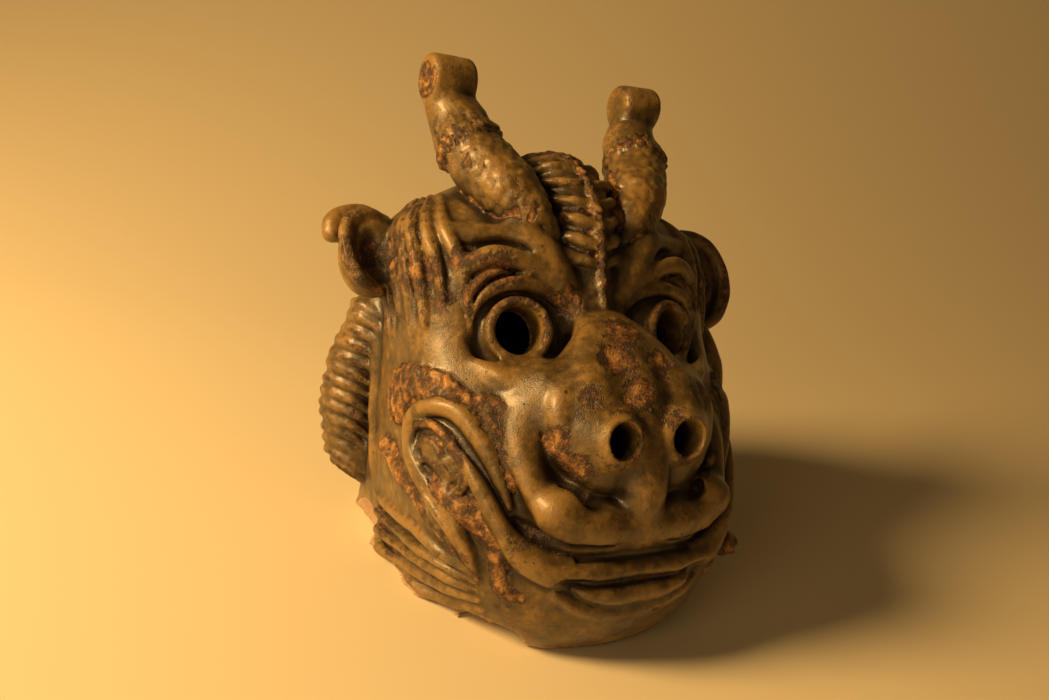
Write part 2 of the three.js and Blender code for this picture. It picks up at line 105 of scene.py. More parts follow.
camera = bpy.data.objects.new("camera", bpy.data.cameras.new("camera"))
bpy.context.collection.objects.link(camera)
place, turn, _ = (face_to_part @ camera_in_face).decompose()
camera.matrix_world = Matrix.LocRotScale(place, turn, None)
camera.data.sensor_width = SENSOR_WIDTH
camera.data.lens = FOCAL_PIXELS / PHOTO_WIDTH * SENSOR_WIDTH
camera.data.clip_start = NEAREST_SEEN
bpy.context.scene.camera = camera
print("camera stands at", tuple(place))

# %% [markdown]
# ## Clay as a field of distances
# A mesh is awkward to model wet clay with: rolls have to melt together and creases have to stay closed. A
# signed distance field is easier. Space is cut into small cubes, and each holds its distance to the nearest
# skin of clay, less than nothing inside. Adding clay is a smooth minimum of two fields, and cutting is a
# smooth maximum. At the end the surface is read off as a mesh.

# %% The block of space that the head is modelled in
VOXEL = 0.6  # the edge of one cube, in millimetres
LOW = np.array([-67.0, -73.0, -90.0])
HIGH = np.array([72.0, 60.0, 84.0])
FAR = 30.0  # the distance given to cubes that a shape doesn't reach

counts = np.ceil((HIGH - LOW) / VOXEL).astype(int) + 1
grid_x, grid_y, grid_z = (
    (LOW[axis] + VOXEL * np.arange(counts[axis])).astype(np.float32) for axis in range(3)
)
print("cubes of clay:", counts, "in all", int(counts.prod()))


def window(low, high):
    """The cubes between two corners: the slices that pick them, and their coordinates."""
    first = np.clip(np.floor((np.asarray(low) - LOW) / VOXEL).astype(int), 0, counts - 1)
    last = np.clip(np.ceil((np.asarray(high) - LOW) / VOXEL).astype(int) + 1, 1, counts)
    cut = tuple(slice(a, b) for a, b in zip(first, last))
    x = grid_x[cut[0]][:, None, None]
    y = grid_y[cut[1]][None, :, None]
    z = grid_z[cut[2]][None, None, :]
    return cut, x, y, z


def smooth_min(a, b, blend):
    """The lower of two fields, rounded over a width of blend millimetres where they meet."""
    share = np.clip(0.5 + 0.5 * (b - a) / blend, 0, 1)
    return b + (a - b) * share - blend * share * (1 - share)


# %% [markdown]
# ## The skull
# Under the carving lies a plain form, a squarish egg that narrows to the chin. The maker built it up by
# hand. Level sections describe it, as a boat's lines do: for each height its front, its back and its half
# width. A superellipse joins them round, which is squarer than an ellipse, as the real head is.

# %% Sections of the skull
SECTIONS = np.array([
    # height, axis, front, half width, back
    (55, -4, -10, 4, 0),
    (52, -4, -13, 14, 8),
    (47, -5, -18, 25, 18),
    (42, -7, -23, 35, 26),
    (37, -11, -28, 42, 32),
    (28, -18, -34, 45.5, 37),
    (15, -20, -38, 46, 41),
    (5, -20, -40, 46, 43),
    (-8, -20, -47, 46.5, 45),
    (-20, -20, -52, 47, 46),
    (-35, -20, -55, 46.5, 47),
    (-50, -20, -55, 44, 47),
    (-62, -20, -54, 38, 46),
    (-72, -20, -48, 30, 44),
    (-79, -20, -38, 24, 40),
    (-92, -20, -32, 20, 36),
])[::-1]
CROWN = SECTIONS[-1, 0]
FRONT_SQUARENESS = 2.7
BACK_SQUARENESS = 2.3
LEAST_STEEPNESS = 0.7  # keeps the field's distances near to true ones where the skull is flat on top


def section(column, height):
    """One column of the sections at any height, along a smooth curve."""
    knots, values = SECTIONS[:, 0], SECTIONS[:, column]
    slopes = np.gradient(values, knots)
    at = np.clip(height, knots[0], knots[-1])
    i = np.clip(np.searchsorted(knots, at, side="right") - 1, 0, len(knots) - 2)
    span = knots[i + 1] - knots[i]
    t = (at - knots[i]) / span
    rise = values[i + 1] - values[i]
    lead = t * (1 - t) * ((1 - t) * (slopes[i] * span - rise) - t * (slopes[i + 1] * span - rise))
    return values[i] + rise * t + lead


def skin_radius(bearing, height):
    """From the upright axis to the skin. Bearing 0 is the front, and it grows to the viewer's right."""
    axis, front, side, back = (section(column, height) for column in (1, 2, 3, 4))
    facing = np.cos(bearing) >= 0
    reach = np.where(facing, axis - front, back - axis)
    power = np.where(facing, FRONT_SQUARENESS, BACK_SQUARENESS)
    across = np.abs(np.sin(bearing)) / side
    along = np.abs(np.cos(bearing)) / reach
    return (across**power + along**power) ** (-1 / power)


def on_skin(marks, side=1, lift=0.0):
    """Points on the skull from pairs of bearing in degrees and height, lifted off it by lift."""
    marks = np.asarray(marks, float)
    bearing = np.radians(marks[:, 0]) * side
    radius = skin_radius(bearing, marks[:, 1]) + lift
    y = section(1, marks[:, 1]) - radius * np.cos(bearing)
    return np.stack([radius * np.sin(bearing), y, marks[:, 1]], axis=1)


def skull_field():
    """Distance to the plain skull, over the whole block."""
    x, y, z = grid_x[:, None, None], grid_y[None, :, None], grid_z[None, None, :]
    away = y - section(1, grid_z)[None, None, :]
    bearing = np.arctan2(x, -away)
    field = np.hypot(x, away) - skin_radius(bearing, grid_z[None, None, :])
    steepness = np.sqrt(sum(g * g for g in np.gradient(field, VOXEL)))
    field = field / np.maximum(steepness, LEAST_STEEPNESS)
    return np.maximum(field, z - CROWN).astype(np.float32)


clay = skull_field()
print("skull fills", round(float((clay < 0).mean()) * 100, 1), "per cent of the block")

# %% [markdown]
# ## Neck
# The neck drops straight down under the leaning head. Folds of the throat run round it level with the face,
# so they climb towards the chin. They could be laid on one by one, but a cosine of the height, added to the
# neck's outline, gives all of them at once.

# %% Neck with its folds
WALL = 7.5
NECK_HALF_WIDTH = 43
NECK_HALF_DEPTH = 42
NECK_MIDDLE = -9
NECK_TOP = -25
NECK_SQUARENESS = 3
FOLD_PITCH = 4.8
FOLD_DEPTH = 1.2
FOLDS_TOP = -47
FOLDS_FADE = 4
HOLLOW_BLEND = 6
NECK_BLEND = 3


def part_height(y, z):
    """Height over the break, of points in the face frame."""
    return BREAK_DROP + z * math.cos(LEAN_BACK) - y * math.sin(LEAN_BACK)


def neck_field():
    """Distance to the plain neck, over the whole block."""
    x, y, z = grid_x[:, None, None], grid_y[None, :, None], grid_z[None, None, :]
    level_y = y * math.cos(LEAN_BACK) + z * math.sin(LEAN_BACK) - NECK_MIDDLE
    across = np.abs(x) / NECK_HALF_WIDTH
    along = np.abs(level_y) / NECK_HALF_DEPTH
    scale = (across**NECK_SQUARENESS + along**NECK_SQUARENESS) ** (1 / NECK_SQUARENESS)
    field = (scale - 1) * min(NECK_HALF_WIDTH, NECK_HALF_DEPTH)
    return np.maximum(field, z - NECK_TOP).astype(np.float32)


neck = neck_field()
hollow = smooth_min(clay, neck, HOLLOW_BLEND) + WALL
in_folds = np.clip((FOLDS_TOP + FOLDS_FADE / 2 - grid_z) / FOLDS_FADE, 0, 1)
folds = FOLD_DEPTH * in_folds * np.cos(2 * math.pi * (FOLDS_TOP - grid_z) / FOLD_PITCH)
clay = smooth_min(clay, neck - folds[None, None, :].astype(np.float32), NECK_BLEND)
print("neck and hollow are", WALL, "mm apart")

# %% [markdown]
# ## Curves
# Most of the carving is rolls of clay along a curve. A few listed points give the curve, a smooth
# spline joins them, and the roll's thickness swells and tapers along it.

# %% Curves
def spline(points, step=1.4):
    """A Catmull-Rom curve through the points, sampled every step millimetres."""
    p = np.asarray(points, float)
    p = np.vstack([2 * p[0] - p[1], p, 2 * p[-1] - p[-2]])
    samples = []
    for i in range(1, len(p) - 2):
        length = np.linalg.norm(p[i + 1] - p[i])
        t = np.linspace(0, 1, max(2, int(length / step) + 1), endpoint=False)[:, None]
        samples.append(
            0.5 * (2 * p[i] + (p[i + 1] - p[i - 1]) * t
                   + (2 * p[i - 1] - 5 * p[i] + 4 * p[i + 1] - p[i + 2]) * t**2
                   + (3 * p[i] - 3 * p[i + 1] + p[i + 2] - p[i - 1]) * t**3)
        )
    return np.vstack(samples + [p[-2][None]])


def spread(values, path):
    """Values spaced evenly along a path, one for each of its samples."""
    run = np.concatenate([[0], np.cumsum(np.linalg.norm(np.diff(path, axis=0), axis=1))])
    return np.interp(run / run[-1], np.linspace(0, 1, len(values)), values)


def both_ways(marks, halves):
    """A line and its half widths from the far side of the face, over the middle, to the mirrored end."""
    return [(-b, h) for b, h in marks] + list(marks)[::-1], list(halves) + list(halves)[::-1]


print("a straight spline of 10 mm has", len(spline([(0, 0, 0), (10, 0, 0)])), "samples")

# %% [markdown]
# ## Rolls and eggs
# The field of a roll is the distance to its middle line, less its half thickness there. The same roll cuts
# a groove when it is taken away. Lumps and dents are ellipsoids.

# %% Rolls of clay
def roll_field(path, halves, reach=3.0, wide=1.0):
    """Distance to a roll along a path. Wide stretches its section sideways, along x."""
    shrink = np.array([1 / wide, 1, 1])
    margin = (halves.max() + reach) * np.array([wide, 1, 1])
    cut, x, y, z = window(path.min(0) - margin, path.max(0) + margin)
    field = np.full([s.stop - s.start for s in cut], FAR, np.float32)
    for a, b, half_a, half_b in zip(path[:-1], path[1:], halves[:-1], halves[1:]):
        room = (max(half_a, half_b) + reach) * np.array([wide, 1, 1])
        near, nx, ny, nz = window(np.minimum(a, b) - room, np.maximum(a, b) + room)
        local = tuple(slice(n.start - c.start, n.stop - c.start) for n, c in zip(near, cut))
        line = (b - a) * shrink
        dx, dy, dz = (nx - a[0]) * shrink[0], ny - a[1], nz - a[2]
        t = np.clip((dx * line[0] + dy * line[1] + dz * line[2]) / (line @ line), 0, 1)
        gap = np.sqrt((dx - t * line[0]) ** 2 + (dy - t * line[1]) ** 2 + (dz - t * line[2]) ** 2)
        field[local] = np.minimum(field[local], gap - (half_a + t * (half_b - half_a)))
    return cut, field


def roll(points, halves, side=1, **options):
    """A roll through free points, mirrored to one side."""
    path = spline(np.asarray(points, float) * (side, 1, 1))
    return roll_field(path, spread(halves, path), **options)


def skin_roll(marks, halves, side=1, lift=0.0, **options):
    """A roll along the skull, through bearings and heights."""
    path = spline(on_skin(marks, side, lift))
    return roll_field(path, spread(halves, path), **options)


def egg(centre, half_sizes, side=1, reach=4.0):
    """An ellipsoid."""
    centre = np.asarray(centre, float) * (side, 1, 1)
    half_sizes = np.asarray(half_sizes, float)
    cut, x, y, z = window(centre - half_sizes - reach, centre + half_sizes + reach)
    offsets = (x - centre[0], y - centre[1], z - centre[2])
    flat = np.sqrt(sum((o / h) ** 2 for o, h in zip(offsets, half_sizes)))
    slope = np.sqrt(sum((o / h**2) ** 2 for o, h in zip(offsets, half_sizes)))
    return cut, (flat * (flat - 1) / np.maximum(slope, 1e-6)).astype(np.float32)


print("a roll reaches", roll([(0, 0, 0), (9, 0, 0)], [2, 1])[1].shape, "cubes")

# %% [markdown]
# ## Pressing on and cutting away
# Each touch of a tool also leaves a mark: where rust will break through the glaze, where the clay is rough
# or scaly, and where it is bare. The marks are kept in blocks of their own, next to the clay.

# %% Adding and taking
masks = {name: np.zeros(counts, np.float16) for name in ("rust", "rough", "scaly", "bare")}


def mark(name, cut, shade):
    """Keeps the stronger of a mask and a new shade."""
    masks[name][cut] = np.maximum(masks[name][cut], shade.astype(np.float16))


def add(shape, blend=1.2, **marks):
    """Presses a shape on, and marks it. A mark is its amount, from 0 to 1."""
    cut, field = shape
    clay[cut] = smooth_min(clay[cut], field, blend)
    for name, amount in marks.items():
        mark(name, cut, amount * np.clip(1 - field, 0, 1))


def take(shape, blend=1.0, **marks):
    """Cuts a shape away, and marks the cut."""
    cut, field = shape
    clay[cut] = -smooth_min(-clay[cut], field, blend)
    for name, amount in marks.items():
        mark(name, cut, amount * np.clip(1 - field, 0, 1))


print("masks:", ", ".join(masks))

# %% [markdown]
# ## Chin, nose and flews
# The chin is a round lobe under the lip. The nose starts as a narrow bridge between the eyes and widens
# into two wings. Beside it hang the flews, the thick folds of the upper lip, which swell into a lump on
# each side of the middle. Wide blends keep these big forms soft, and a groove sets the wings off from the
# flews. From here on a named roll is a pair: the points of its middle line, and its half thicknesses from
# end to end.

# %% Chin, nose and flews
NOSE_MIDDLE = ([(0, -37, 14), (0, -38.5, 8), (0, -45, 1), (0, -48, -6), (0, -51.5, -14), (0, -53.5, -21),
                (0, -53, -29)], [4, 5.2, 7.6, 10, 11, 11.2, 9.4])
NOSE_FLANK = ([(4, -40, 8), (6.5, -46, 1), (9.5, -48.5, -6), (12, -51.5, -13), (12.5, -53.5, -21),
               (11, -54, -28)], [2.6, 5.4, 8, 9.8, 10.5, 8.2])
NOSE_EDGE = ([(6, -39.5, 13), (7, -42, 6), (9, -45.5, 1), (14.5, -51, -6), (20.5, -54.5, -12),
              (21.5, -55.5, -18), (20.5, -55.5, -25), (16.5, -57.5, -29)],
             [0.9, 1.2, 1.8, 2.6, 3.2, 3.4, 3.2, 2.4])
NOSTRIL = np.array([9.8, -64.0, -21.4])
NOSTRIL_MOUND = ([NOSTRIL + (0, 6, 0), NOSTRIL + (0, 1.8, 0)], [8.8, 6.6])
FLEW = ([(22, -43, -7), (26, -44.8, -13), (28, -47, -20), (28, -49.8, -28), (26, -52, -35), (20, -54.5, -40),
         (12, -56.5, -42.5), (2, -56, -43.5)], [2.2, 4.4, 5, 5, 5.6, 7, 6, 4.8])
WING_GROOVE = ([(25.4, -56.3, -17), (25.2, -56.5, -22), (24, -56.8, -27), (20.5, -57.8, -31.5)],
               [0.3, 1, 1.8, 1.6])
LIP_MIDDLE = ([(0, -58, -26), (0, -59.5, -34), (0, -57.5, -41)], [7.5, 6.5, 4.5])
CHIN = ((0, -36, -56), (28, 21, 21.5))  # an egg is a pair too: its centre and its half sizes
JAW_SPUR = ((42.5, -40, -55), (4.2, 4.5, 4))
WING_VALLEY = ((20.5, -47, -15), (7.5, 8.6, 12))
RUST_BEAD = ((24, -56.6, -28.5), (1.3, 1.4, 1.7))
LIP_LUMP = ((22, -56.3, -38.2), (7.4, 6, 6))

add(egg(*CHIN), blend=5)
add(egg(*JAW_SPUR), blend=1, rust=0.7, rough=0.8)
add(roll(*LIP_MIDDLE), blend=4)
for side in SIDES:
    add(roll(*FLEW, side), blend=4)
    add(egg(*WING_VALLEY, side), blend=5)
    add(roll(*NOSE_FLANK, side), blend=3)
add(roll(*NOSE_MIDDLE), blend=3)
for side in SIDES:
    add(roll(*NOSE_EDGE, side), blend=1.8)
    take(roll(*WING_GROOVE, side), blend=1.4, rust=0.6)
    add(egg(*RUST_BEAD, side), blend=0.8, rust=0.5)
    add(egg(*LIP_LUMP, side), blend=1.6)
    add(roll(*NOSTRIL_MOUND, side), blend=2.5)
print("nose reaches", float(grid_y[(clay < 0).any((0, 2))][0]), "mm")

# %% [markdown]
# ### Rings
# Pupils and nostrils both end in a rolled rim of clay, so one function makes a ring that faces any way.

# %% Rings
RING_POINTS = 29


def ring(centre, facing, middle, half, side=1):
    """A ring of clay, round the line through centre that points along facing."""
    around = np.linspace(0, 2 * math.pi, RING_POINTS)[:, None]
    out = np.asarray(facing, float) * (side, 1, 1)
    across = np.cross(out, (0, 0, 1))
    across /= np.linalg.norm(across)
    up = np.cross(across, out / np.linalg.norm(out))
    circle = np.asarray(centre) * (side, 1, 1) + middle * (np.cos(around) * across + np.sin(around) * up)
    return roll_field(circle, np.full(len(circle), half))


NOSTRIL_OUT = (0.12, -1, 0.06)
for side in SIDES:
    add(ring(NOSTRIL + (0, 0.4, 0), NOSTRIL_OUT, 6, 1.3, side), blend=0.8, rust=0.35)
print("nostril rings placed")

# %% [markdown]
# ## Eyes
# Each eye is a mound with a thick ring of clay on it, pierced right through into the hollow for the pupil.
# The ring stands clear of a groove, and a deep socket parts it from the nose. Over it lie a rolled lid, two
# tufts of brow with a cut outline, and the folds of the forehead. They are laid in the order that the maker
# laid them, so that later ones lie on top.

# %% Eyes
EYE = np.array([23.4, -37.5, 4.8])
EYE_SPLAY = math.radians(14)
EYE_BORE = 11
EYE_OUT = np.array([math.sin(EYE_SPLAY), -math.cos(EYE_SPLAY), 0.07])
EYE_BALL = ((22, -27.5, 5), (13, 12.4, 13))
EYE_MOUND = ([EYE - 7 * EYE_OUT, EYE - 1.8 * EYE_OUT], [9.8, 7.4])
SOCKET = ([(16, -38, 13), (12.8, -38.5, 10), (11.6, -38.8, 5.5), (12.3, -39.2, 1.5), (15.5, -41.5, -1)],
          [0.8, 2, 2.8, 2.2, 1])
LID = ([(35.2, -34.5, 4), (34.8, -34.8, 9.5), (31.5, -36, 14.6), (24.5, -37, 17.2), (17, -37.5, 16),
        (11.5, -38, 12.5)], [0.4, 1.3, 2, 2.3, 1.9, 0.8])
LOWER_LID = ([(35, -38, -3.5), (30.5, -42.8, -7), (24.5, -44.6, -7.6), (17.5, -43.5, -5)], [1.2, 2.6, 3, 1.6])
TUFT_LINE = [(36, -35.4, 7), (35.8, -34.8, 13), (33, -35.6, 17.3), (28.5, -36.6, 19.8), (23.5, -37, 19.2)]
TUFT_BED = (TUFT_LINE, [0.6, 1.8, 2.2, 1.9, 0.8])
TUFT = (np.array(TUFT_LINE) + (0, 0.4, 0), [0.3, 1.1, 1.4, 1.2, 0.4])
SMALL_TUFT = ([(22.5, -37.4, 18.6), (20, -38, 19.8), (17, -38.4, 19.4)], [0.4, 1.1, 0.5])
LOW_FOLD = ([(38.5, -31, 15), (35.5, -33, 21), (29, -35.5, 24), (21, -37, 23), (13, -37.5, 18)],
            [1, 2.4, 3, 3, 1.6])
HIGH_FOLD = ([(38, -27, 31), (31.5, -29.5, 29.5), (25, -32, 29), (18.5, -35.5, 27), (13.5, -38, 22.5),
              (10, -38.5, 17)], [1.6, 3, 3.4, 3.2, 2.6, 1.2])
FOLD_CREASE = ([(36, -31.5, 26), (28, -34, 26.8), (21, -36.5, 26), (15.8, -38.3, 23.2), (12, -39, 19)],
               [0.8, 1.7, 2, 1.7, 0.8])

for side in SIDES:
    add(egg(*EYE_BALL, side), blend=3)
    add(roll(*LOWER_LID, side), blend=1.8)
    take(roll(*SOCKET, side), blend=1.8)
    add(roll(*EYE_MOUND, side), blend=1.2)
    take(ring(EYE + 1.6 * EYE_OUT, EYE_OUT, 11, 2.3, side), blend=2, rust=0.2)
    add(ring(EYE + 2.1 * EYE_OUT, EYE_OUT, 7.6, 1.5, side), blend=0.7, rust=0.3)
    add(roll(*HIGH_FOLD, side), blend=2.4)
    add(roll(*LOW_FOLD, side), blend=2)
    take(roll(*FOLD_CREASE, side), blend=2.4, rust=0.2)
    add(roll(*LID, side), blend=1.2)
    take(roll(*TUFT_BED, side), blend=0.5, rust=0.5)
    add(roll(*TUFT, side), blend=0.4, rust=0.4)
    add(roll(*SMALL_TUFT, side), blend=0.4, rust=0.6)
print("pupils will be", EYE_BORE, "mm wide")

# %% [markdown]
# ## Mouth
# Under each wing of the nose a dark slot is cut into the flew, with small teeth in it. Below the lumps lies
# a crease, and then three rolls run from cheek to cheek: the upper lip, the lower lip and a fold over the
# chin. They follow the skull, so their lines are given as bearings and heights on it and not as points in
# space.

# %% Mouth
UPPER_LIP = ([(61, -25), (56, -32), (52, -38), (48, -44), (43, -50), (35, -53.5), (24, -55), (12, -54.5)],
             [0.7, 2, 2.5, 2.9, 3.3, 3.4, 3, 2.5])
LOWER_LIP = ([(28, -55.5), (22, -58.5), (13, -60), (5, -60.2)], [0.6, 2.2, 2.8, 2.8])
CHIN_FOLD = ([(33, -59.5), (25, -63), (14, -65), (5, -65.3)], [0.5, 1.5, 1.9, 1.9])
UNDER_LIP = ([(30, -55), (22, -56.8), (13, -57.2), (5, -57)], [0.4, 0.9, 0.9, 0.8])
CHEEK_GROOVE = ([(54, -22), (50, -28), (46.5, -34), (43.5, -40), (39, -45.5), (31, -48.5)],
                [0.8, 1.6, 2.6, 3, 2.3, 1])
LIP_RIDGE = ([(52, -35), (49, -41), (44, -46), (36, -49.5), (27, -51)], [0.5, 1.5, 1.7, 1.6, 0.6])
LIP_CORNER = (on_skin([(27, -56.5)], 1, 3.2)[0], (4.5, 2.4, 1))
CREASE = ([(31, -49, -41), (24.5, -54.5, -45), (16, -58, -46.9), (8, -59, -47.2)], [0.6, 1.5, 1.6, 0.6])
SLOT = ([(21.5, -56.5, -33.5), (17, -59.5, -35.6), (11.5, -62, -36.4), (7, -63, -36.4)], [0.8, 2.1, 2.4, 0.8])
TEETH = [[(21, -53.5, -38), (20.5, -54.9, -34.8)], [(15.5, -56.2, -38), (15, -57.6, -34.8)]]

add(skin_roll(*both_ways(*UPPER_LIP), lift=1.6), blend=1.2)
add(skin_roll(*both_ways(*LOWER_LIP), lift=1.8), blend=1)
add(skin_roll(*both_ways(*CHIN_FOLD), lift=1.1), blend=1.6)
take(skin_roll(*both_ways(*UNDER_LIP), lift=3.6), blend=1.4, rust=0.3)
for side in SIDES:
    take(skin_roll(*CHEEK_GROOVE, side, lift=3), blend=1.6, rust=0.15)
    add(skin_roll(*LIP_RIDGE, side, lift=2.2), blend=0.8)
    take(roll(*CREASE, side), blend=1.5, rust=0.4)
    take(egg(*LIP_CORNER, side), blend=2.6, rust=0.3)
    take(roll(*SLOT, side), blend=1.2, rust=0.3)
    for tooth in TEETH:
        add(roll(tooth, [1.6, 1], side), blend=0.7)
print("mouth modelled, with", 2 * len(TEETH), "teeth")

# %% [markdown]
# ## Cheeks
# Behind the corner of the mouth a flat band of clay winds round a curled leaf, like a scroll. Outside and
# inside it run cords, and a crest of short teeth arches over all of it. Cords, leaf and crest stand highest
# and rough, so the glaze ran off them in the kiln and left rust brown iron. The teeth are a loop between
# two lines, with a small nod that keeps them from looking stamped.

# %% Cheeks
SCROLL = ([(59, -56), (61, -49), (65, -42.5), (72, -36.5), (79, -30), (83, -24.5), (83, -19), (79, -15.5),
           (72, -13.8), (66, -14.5), (61.5, -17), (57, -21), (53, -26), (49.5, -32), (47, -38)],
          [0.9, 2, 2.5, 2.7, 2.7, 2.7, 2.6, 2.6, 2.7, 2.8, 2.8, 2.7, 2.4, 1.8, 0.8])
SCROLL_LINE = ([(60, -53), (63.5, -44.5), (69, -38), (76, -32), (81, -26)], [0.3, 0.9, 1, 0.9, 0.3])
LEAF_BED = ([(80, -23), (74, -24), (68, -27.5), (63.5, -31)], [2.5, 4.8, 4.8, 3])
LEAF = ([(81.5, -28), (83, -23), (80, -19), (74, -18), (68.5, -20), (64, -24), (61, -29), (61, -33),
         (64.5, -34.5)], [0.9, 1.4, 1.4, 1.4, 0.9])
LEAF_VEINS = [[(79, -24.5), (75, -22), (70, -23.5), (66, -28), (64, -31)],
              [(77, -28), (73, -26.5), (70, -29)]]
CORD = ([(75, -30.5), (69, -34.5), (63, -38), (57.5, -41), (53.5, -44.5), (51.5, -49), (51.5, -54), (51, -58),
         (45, -60)], [1.6, 3.2, 3.7, 3.6, 3.1, 2.7, 2.4, 2.2, 1.6])
OUTER_CORD = ([(106, -26), (95, -31.5), (84, -37), (75, -42), (68, -47), (63.5, -52)],
              [3.6, 3.4, 2.8, 2.4, 2, 1])
CREST_TOP = [(102, -9), (94, -5.5), (86, -5), (79, -5.5), (72, -6.8), (66, -9.5), (60.5, -12.5), (55, -13),
             (49, -15.5)]
CREST_FOOT = [(99, -17.5), (93, -17.5), (86, -11.5), (79, -11), (72, -11.5), (66, -13.8), (60.5, -18),
              (53, -25), (45.5, -33)]
CREST_TEETH = 34

tops, feet = spline(CREST_TOP, 0.1), spline(CREST_FOOT, 0.1)
for side in SIDES:
    add(skin_roll(*SCROLL, side, lift=0.5), blend=0.8)
    take(skin_roll(*SCROLL_LINE, side, lift=3.3), blend=0.7, rust=0.4)
    add(skin_roll(*LEAF_BED, side, lift=-2.6), blend=1.8, rust=0.45, rough=0.6)
    add(skin_roll(*LEAF, side, lift=0.9), blend=0.6, rust=0.6, rough=0.4)
    for vein in LEAF_VEINS:
        add(skin_roll(vein, [0.5, 1, 1, 0.6], side, lift=1.2), blend=0.5, rust=0.6, rough=0.5)
    add(skin_roll(*CORD, side, lift=-1), blend=0.9, rust=1, rough=1)
    add(skin_roll(*OUTER_CORD, side, lift=-1.2), blend=1, rust=0.9, rough=1)
    for i in range(CREST_TEETH):
        share = i / (CREST_TEETH - 1)
        top, foot = tops[int(share * (len(tops) - 1))], feet[int(share * (len(feet) - 1))]
        nod = 0.5 * math.sin(2.6 * i)
        bend = (top + foot) / 2 + (1.2, 0.4)
        tooth = [top + (0, nod), bend, foot - (0, nod)]
        add(skin_roll(tooth, [1.2, 1.9, 1.6], side, lift=nod - 0.1), blend=0.7, rust=0.9, rough=1)
print("rust marked on", int((masks["rust"] > 0.5).sum()), "cubes")

# %% [markdown]
# ### Iron without relief
# Rust also lies as a stain on smooth clay: over the bridge and the top of the nose, on the chin, under the
# brows and where the folds of the throat meet. These marks change only the colour.

# %% Stains
STAINS = [  # centre, reach and strength
    ((0, -50, 2), 6, 1), ((-5, -55, -3), 5, 1), ((7, -55, -4), 5, 0.9), ((-9, -40, 12), 4, 0.9),
    ((-15, -58, -12), 4, 0.75), ((-2, -61, -11), 4.5, 0.85), ((-23, -57, -22), 4, 0.9),
    ((-20, -60, -28), 4, 0.9), ((4, -64, -16), 4, 0.7), ((18, -58, -12), 5, 0.8), ((-41, -42, -60), 5, 1),
    ((-33, -46, -65), 4, 0.9), ((-12, -58, -72), 5, 0.85),
    ((8, -60, -68), 4, 0.8), ((-28, -38, 20), 4, 0.6), ((-40, -28, 12), 5, 0.8), ((-45, -26, 20), 5, 0.8),
    ((-36, -32, 24), 4, 0.7), ((40, -28, 12), 5, 0.8), ((45, -26, 20), 5, 0.8), ((-30, -50, -48), 4, 0.7),
]


def stain(centre, reach, strength):
    """Marks rust round a point, fading out, and moves no clay."""
    cut, x, y, z = window(np.array(centre) - 2 * reach, np.array(centre) + 2 * reach)
    away = np.sqrt((x - centre[0]) ** 2 + (y - centre[1]) ** 2 + (z - centre[2]) ** 2) / reach
    mark("rust", cut, strength * np.clip(1.6 - away, 0, 1))


for spot in STAINS:
    stain(*spot)
print(len(STAINS), "stains")

# %% [markdown]
# ## Throat
# Under the jaw, folds of loose skin run round the neck and meet in a point below the corner of the mouth.
# They must lie on whatever clay is already there, so each mark is first found on the surface: along a ray
# out from the axis, the last cube that still holds clay. Between two folds a comb left a groove.

# %% Throat folds
THROAT_BEARINGS = (122, 106, 88, 74, 62)
FOLD_HALVES = [1.4, 1.8, 1.8, 1.5, 0.8]
GROOVE_HALVES = [1.2, 1.6, 1.5, 1.1, 0.4]
RAY_START, RAY_END = 15, 75
THROAT_FOLDS = [  # for each fold its heights, one at each bearing
    (-41.5, -43.5, -46, -50, -55),
    (-46, -48.5, -51, -54.2, -57.8),
    (-51, -53.5, -55.8, -57.8, -60),
    (-56.5, -59, -60.8, -61.8, -62.6),
    (-62, -64.5, -65.8, -66, -65.6),
    (-67.5, -70, -71, -70.4, -69),
]


def on_clay(marks, side=1, lift=0.0):
    """Points on the clay's surface from bearings in degrees and heights."""
    reach = np.arange(RAY_START, RAY_END, VOXEL / 2)
    points = []
    for bearing, height in marks:
        a = math.radians(bearing) * side
        axis = float(section(1, np.array(height)))
        x, y = reach * math.sin(a), axis - reach * math.cos(a)
        line = np.stack([x, y, np.full_like(reach, height)], axis=1)
        index = np.clip(np.round((line - LOW) / VOXEL).astype(int), 0, counts - 1)
        filled = np.flatnonzero(clay[tuple(index.T)] < 0)
        points.append(line[filled[-1]] + lift * np.array([math.sin(a), -math.cos(a), 0]))
    return np.array(points)


for side in SIDES:
    paths = [spline(on_clay(zip(THROAT_BEARINGS, heights), side, 0.1)) for heights in THROAT_FOLDS]
    for path in paths:
        add(roll_field(path, spread(FOLD_HALVES, path)), blend=1)
    for upper, lower in zip(THROAT_FOLDS, THROAT_FOLDS[1:]):
        between = [(b, (u + l) / 2) for b, u, l in zip(THROAT_BEARINGS, upper, lower)]
        path = spline(on_clay(between, side, 0.7))
        take(roll_field(path, spread(GROOVE_HALVES, path)), blend=0.8, rust=0.4)
print(len(THROAT_FOLDS), "folds on each side of the throat")

# %% [markdown]
# ## Temples
# Short locks hang from the crown to the cheek, combed side by side, with a scored line between them. Each
# is a roll that sways a little from its neighbour, so the row looks drawn by hand. Seeded noise gives the
# sway, and it is the same every run.

# %% Temple locks
TEMPLE_LOCKS = 8
TEMPLE_FRONT, TEMPLE_SPAN = 71, 41  # bearings in degrees
LOCK_HEIGHTS = (41, 32, 21)
dice = np.random.default_rng(7)

